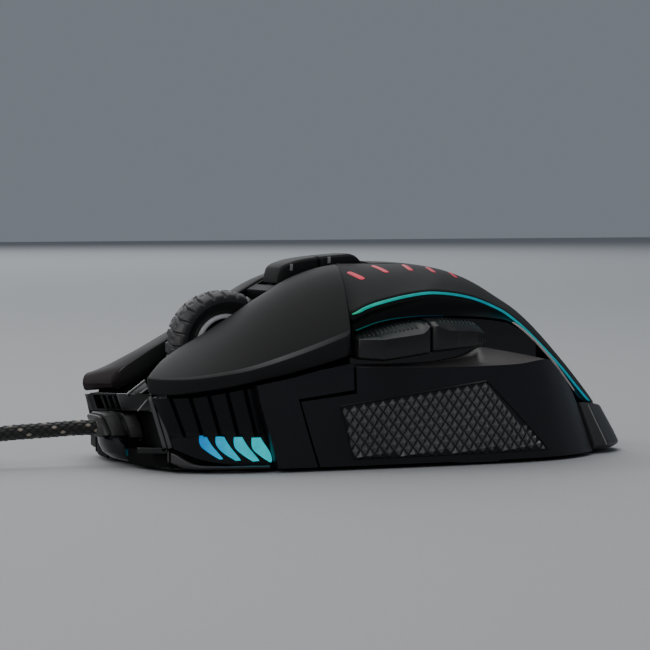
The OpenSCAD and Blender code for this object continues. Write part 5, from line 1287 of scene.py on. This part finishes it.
def window_parts(sg):
    parts = []
    for A, B in WIN:
        ca, cb = [(i, q) for i, q in enumerate(A)], [(i, q) for i, q in enumerate(B)]
        G = []
        for u in steps(5):
            row = []
            for t in steps(20):
                k = t * 5
                xa, za = sm(k, [(i, q[0]) for i, q in ca]), sm(k, [(i, q[1]) for i, q in ca])
                xb, zb = sm(k, [(i, q[0]) for i, q in cb]), sm(k, [(i, q[1]) for i, q in cb])
                x, z = mix(xa, xb, u), mix(za, zb, u)
                row.append((x, -sg * (sm(x, FG) - 0.12 + 0.1 * (abs(2 * u - 1) ** 4)) * -1 * -1, z))
            G.append(row)
        parts.append(plate_vf(G, (0, -sg * 0.6, 0)))
    return merge(*parts)


build("light_windows_left", *window_parts(-1), M["windows"], "body", ("front_light_guide_left",), "light_blue", angle=50)
build("light_windows_right", *window_parts(1), M["windows"], "body", ("front_light_guide_right",), "light_blue", angle=50)


def bar_vf(pts, w, h, up=Vector((0, 0, 1)), r=0.3):
    """bar along points, w wide across and h tall along up"""
    rings = []
    for i, p in enumerate(pts):
        a, b_ = Vector(pts[max(i - 1, 0)]), Vector(pts[min(i + 1, len(pts) - 1)])
        d = (b_ - a).normalized()
        s = d.cross(up).normalized()
        n_ = s.cross(d).normalized()
        p = Vector(p)
        rings.append(round_ring([tuple(p - s * w / 2 - n_ * h / 2), tuple(p + s * w / 2 - n_ * h / 2), tuple(p + s * w / 2 + n_ * h / 2), tuple(p - s * w / 2 + n_ * h / 2)], r, 3))
    return loft_vf(rings)


for sg, nm in ((-1, "left"), (1, "right")):
    parts = []
    for off, wd in ((-0.52, 0.85), (0.48, 0.9)):
        pts = [(mix(-57.1, -54.6, t) + off + (2.6 if sg > 0 else 0), sg * (mix(22.9, 25.1, t) + off * 0.42), mix(16.1 - (2.9 if sg > 0 else 0), 5.5, t)) for t in steps(10)]
        parts.append(bar_vf(pts, wd, 1.2, up=Vector((-0.45, 0.9 * sg, 0)), r=0.2))
    build(f"front_corner_post_{nm}", *merge(*parts), M["post"], "body", (), "nose_black", bevel=(0.1, 2), min_angle=60)


def nose_x(y):
    return sm(abs(y), NX)


def nose_zt(y):
    return 15.55 - 0.05 * y if y < 11 else mix(15.0, 13.9, clamp((y - 11) / 2.5))


def nose_zb(y):
    return 11.75 - 0.062 * y


def nose_face(y0, y1, n, za, zb_, dx=0.0, th=1.4):
    """strip of the nose between two heights, leaning back downwards"""
    G = []
    for u in steps(n):
        y = mix(y0, y1, u)
        row = []
        for v in steps(4):
            z = mix(zb_(y), za(y), v)
            row.append((nose_x(y) + 0.36 * (nose_zt(y) - z) + dx, y, z))
        G.append(row)
    return plate_vf(G, (th, 0, 0))


build("nose_plate_left", *nose_face(-20.4, -6.6, 16, nose_zt, nose_zb), M["nose"], "body", (), "nose_black", bevel=(0.16, 2), min_angle=40, angle=34)
parts = [nose_face(8.9, 20.4, 16, nose_zt, nose_zb)]
parts += [nose_face(-6.5, 9.0, 20, nose_zt, lambda y: nose_zt(y) - 0.45), nose_face(-6.5, 9.0, 20, lambda y: nose_zb(y) + 0.45, nose_zb)]
parts += [nose_face(y - 0.75, y + 0.75, 2, lambda q: nose_zt(q) - 0.3, lambda q: nose_zb(q) + 0.3, dx=0.1) for y in (-4.4, -0.9, 2.6)]
build("nose_ribbed_band", *merge(*parts), M["pit"], "body", ("front_nose",), "nose_black", bevel=(0.16, 2), min_angle=40, angle=34)
# dark wall behind the nose ribs, painted shade for the recess
build("nose_back_wall", *nose_face(-6.9, 9.4, 20, lambda y: nose_zt(y) - 0.2, lambda y: nose_zb(y) + 0.1, dx=1.7, th=0.6), M["void"], "body", (), "inner_black", angle=40)
# sloped fender between the nose and the left button, its rails
W_ = [(-58.75, -12.0, 15.9), (-54.7, -12.0, 18.75), (-56.9, -19.4, 17.7), (-57.6, -17.3, 16.5)]
build("nose_fender", *plate_vf([[W_[0], W_[1]], [mixp(W_[0], W_[3], 0.5), mixp(W_[1], W_[2], 0.5)], [W_[3], W_[2]]], (0.6, 0.2, -0.9)), M["pit"], "body", (), "nose_black", bevel=(0.12, 2), min_angle=30, angle=34)
# the rails carry painted highlights along the fender's edges
parts = [bar_vf([mixp((-58.8, -12.05, 16.05), (-54.75, -12.05, 18.9), t) for t in steps(6)], 0.34, 0.34, r=0.1),
         bar_vf([mixp((-57.7, -17.4, 16.6), (-56.95, -19.6, 17.75), t) for t in steps(4)], 0.26, 0.26, r=0.08),
         bar_vf([mixp((-57.95, -16.3, 12.8), (-57.1, -19.5, 15.3), t) for t in steps(4)], 0.26, 0.26, r=0.08)]
build("nose_rails", *merge(*parts), M["edge"], "body", (), "nose_black", bevel=None, angle=40)

parts = []
for sg in (-1, 1):
    G = [[(mix(-51.9, -54.6, u) - 1.6 * v * (1 - 0.4 * u), sg * mix(3.0, 22.0, u), mix(4.6, 12.6, v)) for v in steps(6)] for u in steps(20)]
    parts.append(plate_vf(G, (1.5, 0, 0)))
build("nose_bezel_detailed", *merge(*parts), M["pit"], "body", ("front_bezel",), "nose_black", bevel=(0.25, 2), min_angle=40, angle=34)
parts = [bar_vf([(mix(-57.9, -52.9, t) + (3.4 if sg > 0 else 0), sg * mix(16.3, 22.6, t), mix(4.5, 4.7, t)) for t in steps(8)], 0.9, 1.2, r=0.2) for sg in (-1, 1)]
build("front_lower_rail", *merge(*parts), M["nose"], "body", (), "nose_black", bevel=(0.1, 2), min_angle=60)


def ch_z(x, y):
    """floor of the channel ahead of the wheel, with shallow ribs along it"""
    z = sm(x, [[-57.2, 13.9], [-53, 13.7], [-48, 14.1], [-44, 14.5], [-41.9, 13.9]])
    return z - 0.25 * smooth(abs((y / 2.6) % 1.0 - 0.5), 0.28, 0.36) * smooth(x, -56, -55) * (1 - smooth(x, -44.5, -43.8))


parts = [plate_vf([[(x, sm(x, [[-57.2, 12.6], [-53, 12.8], [-50, 11.6], [-46, 9.6], [-41.9, 9.4]]) * v, ch_z(x, sm(x, [[-57.2, 12.6], [-53, 12.8], [-50, 11.6], [-46, 9.6], [-41.9, 9.4]]) * v)) for v in [-1 + 2 * t for t in steps(60)]]
                   for x in [mix(-57.2, -41.9, t) for t in steps(24)]], (0, 0, -0.9))]
for sg in (-1, 1):
    parts.append(plate_vf([[(x, sg * mix(6.9, 9.4, v), 13.35) for v in steps(2)] for x in [mix(-41.95, -24.2, t) for t in steps(8)]], (0, 0, -0.6)))
build("wheel_channel_floor", *merge(*parts), M["louvre"], "body", (), "louvre_black", bevel=None, angle=40)


def curtain(pts, inward):
    """thin inner wall through (x, y, bottom, top), thickness set off towards a point"""
    rings = []
    for i, (x, y, zb, zt) in enumerate(pts):
        a, b_ = pts[max(i - 1, 0)], pts[min(i + 1, len(pts) - 1)]
        d = Vector((b_[0] - a[0], b_[1] - a[1])).normalized()
        nn = Vector((-d[1], d[0]))
        if (Vector(inward) - Vector((x, y))).dot(nn) < 0: nn = -nn
        rings.append([(x, y, zb), (x, y, zt), (x + nn[0] * 0.5, y + nn[1] * 0.5, zt), (x + nn[0] * 0.5, y + nn[1] * 0.5, zb)])
    return loft_vf(rings)


# dark curtains inside the gaps round the buttons: painted shade that hides the inner parts
left_line = [(x, sm(x, col(LC, 1)) + 2.7, 1.6, sm(x, col(LC, 2)) - sm(x, LSK) + (1.0 if x > -52 else 0.6)) for x in (-54, -52, -50, -47, -44, -41, -38, -34, -31, -27, -24, -20, -16.5)]
front_line = [(-54, -23.1, 1.6, 17.3), (-53.2, -21, 1.6, 17.6), (-52.2, -17, 1.6, 18.4), (-50.8, -12.4, 1.6, 18.6)]
mid_line = [(-50.8, -12.4, 1.6, 15.0), (-50.4, -6, 1.6, 13.0), (-50.4, 6, 1.6, 13.0), (-50.3, 12.5, 1.6, 15.6)]
right_line = [(-50.3, 12.5, 1.6, 14.4), (-51.2, 16, 1.6, 15.3), (-51.9, 20, 1.6, 15.3), (-52.2, 23.4, 1.6, 15.0)]
far_line = [(x, sm(x, col(RI, 1)) + 2.2, 6.0, sm(x, col(RI, 2)) - sm(x, WI) - 0.8) for x in (-50, -47, -44, -41, -38)]
outer_right = [(x, sm(x, col(RC, 1)) - 2.8, 1.6, sm(x, col(RC, 2)) - sm(x, RSK) - 0.1) for x in (-52.2, -50, -46, -42, -38, -32, -26, -20, -16.5)]
near_line = [(x, sm(x, col(LI, 1)) - 2.2, 6.0, sm(x, col(LI, 2)) - sm(x, WI) + 0.5) for x in (-47.5, -44, -41, -38)]
build("inner_shade_liner", *merge(curtain(left_line, (-30, 0)), curtain(front_line, (-30, 0)), curtain(mid_line, (-30, 0)), curtain(right_line, (-30, 0)), curtain(far_line, (-40, 20)),
                            curtain(outer_right, (-30, 0)), curtain(near_line, (-40, -20))), M["void"], "body", (), "inner_black", angle=40)

parts = []
for sg in (-1, 1):
    rings = []
    for k in [i * 0.2 for i in range(23)]:
        x, y = sm(k, col(BP, 1)), sm(k, col(BP, 2))
        a, b_ = sm(k + 0.1, col(BP, 1)) - sm(k - 0.1, col(BP, 1)), sm(k + 0.1, col(BP, 2)) - sm(k - 0.1, col(BP, 2))
        q = math.hypot(a, b_)
        nx, ny = -b_ / q, a / q
        zt, zb = sm(k, col(BP, 3)), sm(k, col(BP, 4))
        rings.append(round_ring([(x + nx * 0.8, sg * (y + ny * 0.8), zb), (x, sg * y, zb + 0.5), (x, sg * y, zt - 0.2), (x + nx * 0.5, sg * (y + ny * 0.5), zt),
                                 (x + nx * 2.4, sg * (y + ny * 2.4), zt - 0.3), (x + nx * 2.4, sg * (y + ny * 2.4), zb)], [0.3, 0.25, 0.18, 0.18, 0.2, 0.2], 3))
    parts.append(loft_vf(rings))
build("front_lip", *merge(*parts), M["lip"], "body", ("front_bumper",), "bumper_satin", bevel=(0.12, 2), min_angle=60, angle=32)

chin = []
for i in range(25):
    y = mix(-5.6, 5.6, i / 24)
    k = 2.3 * (abs(y) / 5.6) ** 2.4
    chin.append([(-60.6 + k, y, 6.4), (-60.3 + k, y, 4.6), (-59.4 + k, y, 2.9), (-57.6 + k * 0.7, y, 1.6), (-55.6 + 0.3 * k, y, 1.0), (-53.6, y, 1.0), (-53.6, y, 6.2), (-55.6, y, 6.3)])
# dark block inside the front lip: painted shadow for the shaded cavity under the front
parts = []
for sg in (-1, 1):
    rings = []
    for k in [4.2 + i * 0.2 for i in range(20)]:
        x, y = sm(k, col(BP, 1)), sm(k, col(BP, 2))
        a, b_ = sm(k + 0.1, col(BP, 1)) - sm(k - 0.1, col(BP, 1)), sm(k + 0.1, col(BP, 2)) - sm(k - 0.1, col(BP, 2))
        q = math.hypot(a, b_)
        nx, ny = -b_ / q, a / q
        w = mix(0.8, 2.4, smooth(k, 4.2, 4.8))
        rings.append([(x + nx * w, sg * (y + ny * w), 1.0), (x + nx * w, sg * (y + ny * w), 4.2), (x + nx * (w + 1.4), sg * (y + ny * (w + 1.4)), 4.2), (x + nx * (w + 1.4), sg * (y + ny * (w + 1.4)), 1.0)])
    parts.append(loft_vf(rings))
build("front_foot_shade_block", *merge(*parts), M["void"], "body", (), "inner_black", bevel=None, angle=40)
build("front_chin_detailed", *loft_vf(chin), M["chin"], "body", ("front_chin",), "chin_gloss", bevel=(0.14, 2), min_angle=20, angle=24)
# painted reflection: a teal patch on the chin's side
build("chin_painted_reflection_patch", *plate_vf([[(mix(-57.0, -54.9, u) + 0.5 * (1 - v), -5.64, mix(2.3, 3.9, v)) for v in steps(4)] for u in steps(4)], (0, 0.3, 0)), M["patch"], "body", (), "light_cyan", bevel=(0.08, 2), min_angle=60)

# cable boot: a thin flange and two leaning blocks with soft corners on a core
parts = []
for xt0, xt1, xb0, xb1, zt, zb, yw in ((-62.3, -61.45, -60.3, -59.5, 11.0, 6.6, 4.0), (-61.3, -57.75, -59.1, -55.9, 11.45, 6.25, 4.3), (-57.1, -53.9, -54.7, -51.4, 11.6, 5.7, 4.4)):
    rings = []
    for y, k in ((-yw, 0.78), (-yw + 0.15, 0.86), (-yw + 0.5, 0.94), (-yw + 1.1, 1.0), (0, 1.0), (yw - 1.1, 1.0), (yw - 0.5, 0.94), (yw - 0.15, 0.86), (yw, 0.78)):
        cz = (zt + zb) / 2
        cxm = (xt0 + xt1 + xb0 + xb1) / 4
        q = [(xt0, zt), (xt1, zt), (xb1, zb), (xb0, zb)]
        rings.append(round_ring([(cxm + (x - cxm) * (0.5 + 0.5 * k), y, cz + (z - cz) * k) for x, z in q], 0.32, 3))
    parts.append(loft_vf(rings))
build("cable_boot_ribs", *merge(*parts), M["boot"], "body", ("cable_boot",), "boot_rubber", bevel=None, angle=50)
rings = []
for x, r in ((-61.8, 1.75), (-61.7, 1.95), (-60.6, 2.3), (-59.0, 2.8), (-57.5, 3.1), (-52.2, 3.3)):
    rings.append([(x, r * 1.05 * math.cos(t * PI / 16), 8.3 + r * 0.95 * math.sin(t * PI / 16)) for t in range(32)])
build("cable_boot_core", *loft_vf(rings), M["boot"], "body", (), "boot_rubber", angle=40)


# ------------------------------------------------------------------ tail
def tail_ring(s, lift=0.0):
    k = 0.02
    a, b_ = tp(min(s + k, 1), 5), tp(max(s - k, 0), 5)
    t = Vector((a[0] - b_[0], a[1] - b_[1], 0)).normalized()
    nn = Vector((-t[1], t[0], 0))
    top = mix(11.2, 10.4, s) - 1.6 * math.sin(PI * s) ** 2 + 0.45 + lift
    return nn, top


rings = []
for s in steps(90):
    nn, top = tail_ring(s)
    w = smooth(s, 0.0, 0.1) * (1 - smooth(s, 0.9, 1.0))
    P = [Vector(tp(s, 0.9)) + nn * (0.9 - 1.2 * w), Vector(tp(s, 1.8)) - nn * (0.35 + 1.7 * w), Vector(tp(s, 4.6)) - nn * (0.4 + 1.2 * w), Vector(tp(s, top)) - nn * 0.35, Vector(tp(s, top)) + nn * 1.9, Vector(tp(s, 0.9)) + nn * 2.6]
    rings.append(round_ring([tuple(p) for p in P], [0.3, 0.7, 0.5, 0.35, 0.2, 0.2], 4))
build("tail_cover", *loft_vf(rings), M["tail"], "body", ("tail_bumper",), "tail_grey", bevel=(0.3, 3), min_angle=60, angle=34)

# a thin ridge down each tail corner, coloured as a painted highlight seam
parts = []
for s, sg in ((0.075, -1), (0.925, 1)):
    nn, top = tail_ring(s)
    w = smooth(s, 0.0, 0.1) * (1 - smooth(s, 0.9, 1.0))
    P = [Vector(tp(s, 2.0)) - nn * (0.32 + 1.68 * w), Vector(tp(s, 3.2)) - nn * (0.4 + 1.45 * w), Vector(tp(s, 4.6)) - nn * (0.42 + 1.2 * w), Vector(tp(s, 7.2)) - nn * (0.42 + 0.62 * w), Vector(tp(s, top - 0.5)) - nn * 0.42]
    parts.append(bar_vf([tuple(p) for p in P], 0.34, 0.22, up=-nn, r=0.09))
build("tail_ridge_highlight", *merge(*parts), M["edge"], "body", (), "tail_grey", bevel=None, angle=50)

# ------------------------------------------------------------------ CAD nodes that stay: their materials
KEEP = {"base_plate": "base", "glide_pads": "glide", "case_screws": "steel", "grip_magnets": "magnet", "grip_magnet_plates": "steel", "thumb_recess_wall": "gloss",
        "left_button_arm": "inner", "right_button_arm": "inner", "top_frame": "inner", "hinge_pins": "steel", "dpi_board": "board", "side_button_board": "board",
        "main_board": "board", "board_screws": "steel", "main_switches": "switch", "middle_switch": "switch", "wheel_guide_posts": "inner", "wheel_carrier": "hub",
        "wheel_encoder": "switch", "wheel_axle": "steel", "wheel_rim_ring": "ring", "sensor_chip": "switch", "sensor_lens": "lens", "cable_socket": "switch"}
for n_, k_ in KEEP.items():
    o = NODE[n_]
    if o.data.materials:
        for i in range(len(o.data.materials)):
            o.data.materials[i] = M[k_]
    else:
        o.data.materials.append(M[k_])

# ------------------------------------------------------------------ floor, light
me = bpy.data.meshes.new("floor")
me.from_pydata([(-3, -2.5, 0), (3, -2.5, 0), (3, 2.6, 0), (-3, 2.6, 0)], [], [(0, 1, 2, 3)])
floor = bpy.data.objects.new("floor", me)
bpy.context.scene.collection.objects.link(floor)
m, nt, b = new_mat("floor_pale")
tc = node(nt, "ShaderNodeTexCoord")
ns = node(nt, "ShaderNodeTexNoise", Scale=900.0, Detail=3.0)
nt.links.new(tc.outputs["Object"], ns.inputs["Vector"])
rp = nt.nodes.new("ShaderNodeValToRGB")
rp.color_ramp.elements[0].color, rp.color_ramp.elements[1].color = (0.40, 0.405, 0.415, 1), (0.45, 0.455, 0.465, 1)
nt.links.new(ns.outputs["Fac"], rp.inputs["Fac"])
nt.links.new(rp.outputs["Color"], b.inputs["Base Color"])
b.inputs["Roughness"].default_value = 0.85
me.materials.append(m)
floor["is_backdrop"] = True

world = bpy.data.worlds.new("world")
bpy.context.scene.world = world
world.use_nodes = True
bg = [n for n in world.node_tree.nodes if n.type == "BACKGROUND"][0]
bg.inputs["Color"].default_value = (0.50, 0.56, 0.64, 1)
bg.inputs["Strength"].default_value = 0.34


def area(name, loc, target, size, power, colour=(1, 1, 1), size_y=None):
    d = bpy.data.lights.new(name, "AREA")
    d.energy = power
    d.color = colour
    d.shape = "RECTANGLE"
    d.size, d.size_y = size, size_y or size
    o = bpy.data.objects.new(name, d)
    bpy.context.scene.collection.objects.link(o)
    o.location = loc
    o.rotation_mode = "QUATERNION"
    o.rotation_quaternion = (Vector(target) - Vector(loc)).to_track_quat("-Z", "Y")
    return o


area("soft_top", (-0.05, 0.1, 0.95), (0, 0, 0.02), 0.9, 3.9, (1.0, 0.985, 0.97))
area("soft_back", (0.25, 1.9, 1.1), (0, 0, 0.03), 1.6, 17.0, (0.95, 0.98, 1.0))
area("soft_front", (-0.75, -0.75, 0.5), (0, 0, 0.02), 0.45, 2.4, (1.0, 0.98, 0.97))
area("soft_left", (-0.8, 0.35, 0.4), (-0.03, 0, 0.02), 0.4, 2.6, (1, 0.98, 0.96))

# ------------------------------------------------------------------ size, table
a, b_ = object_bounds()
{"cad": CAD_BOX, "visual": [list(a), list(b_)]}
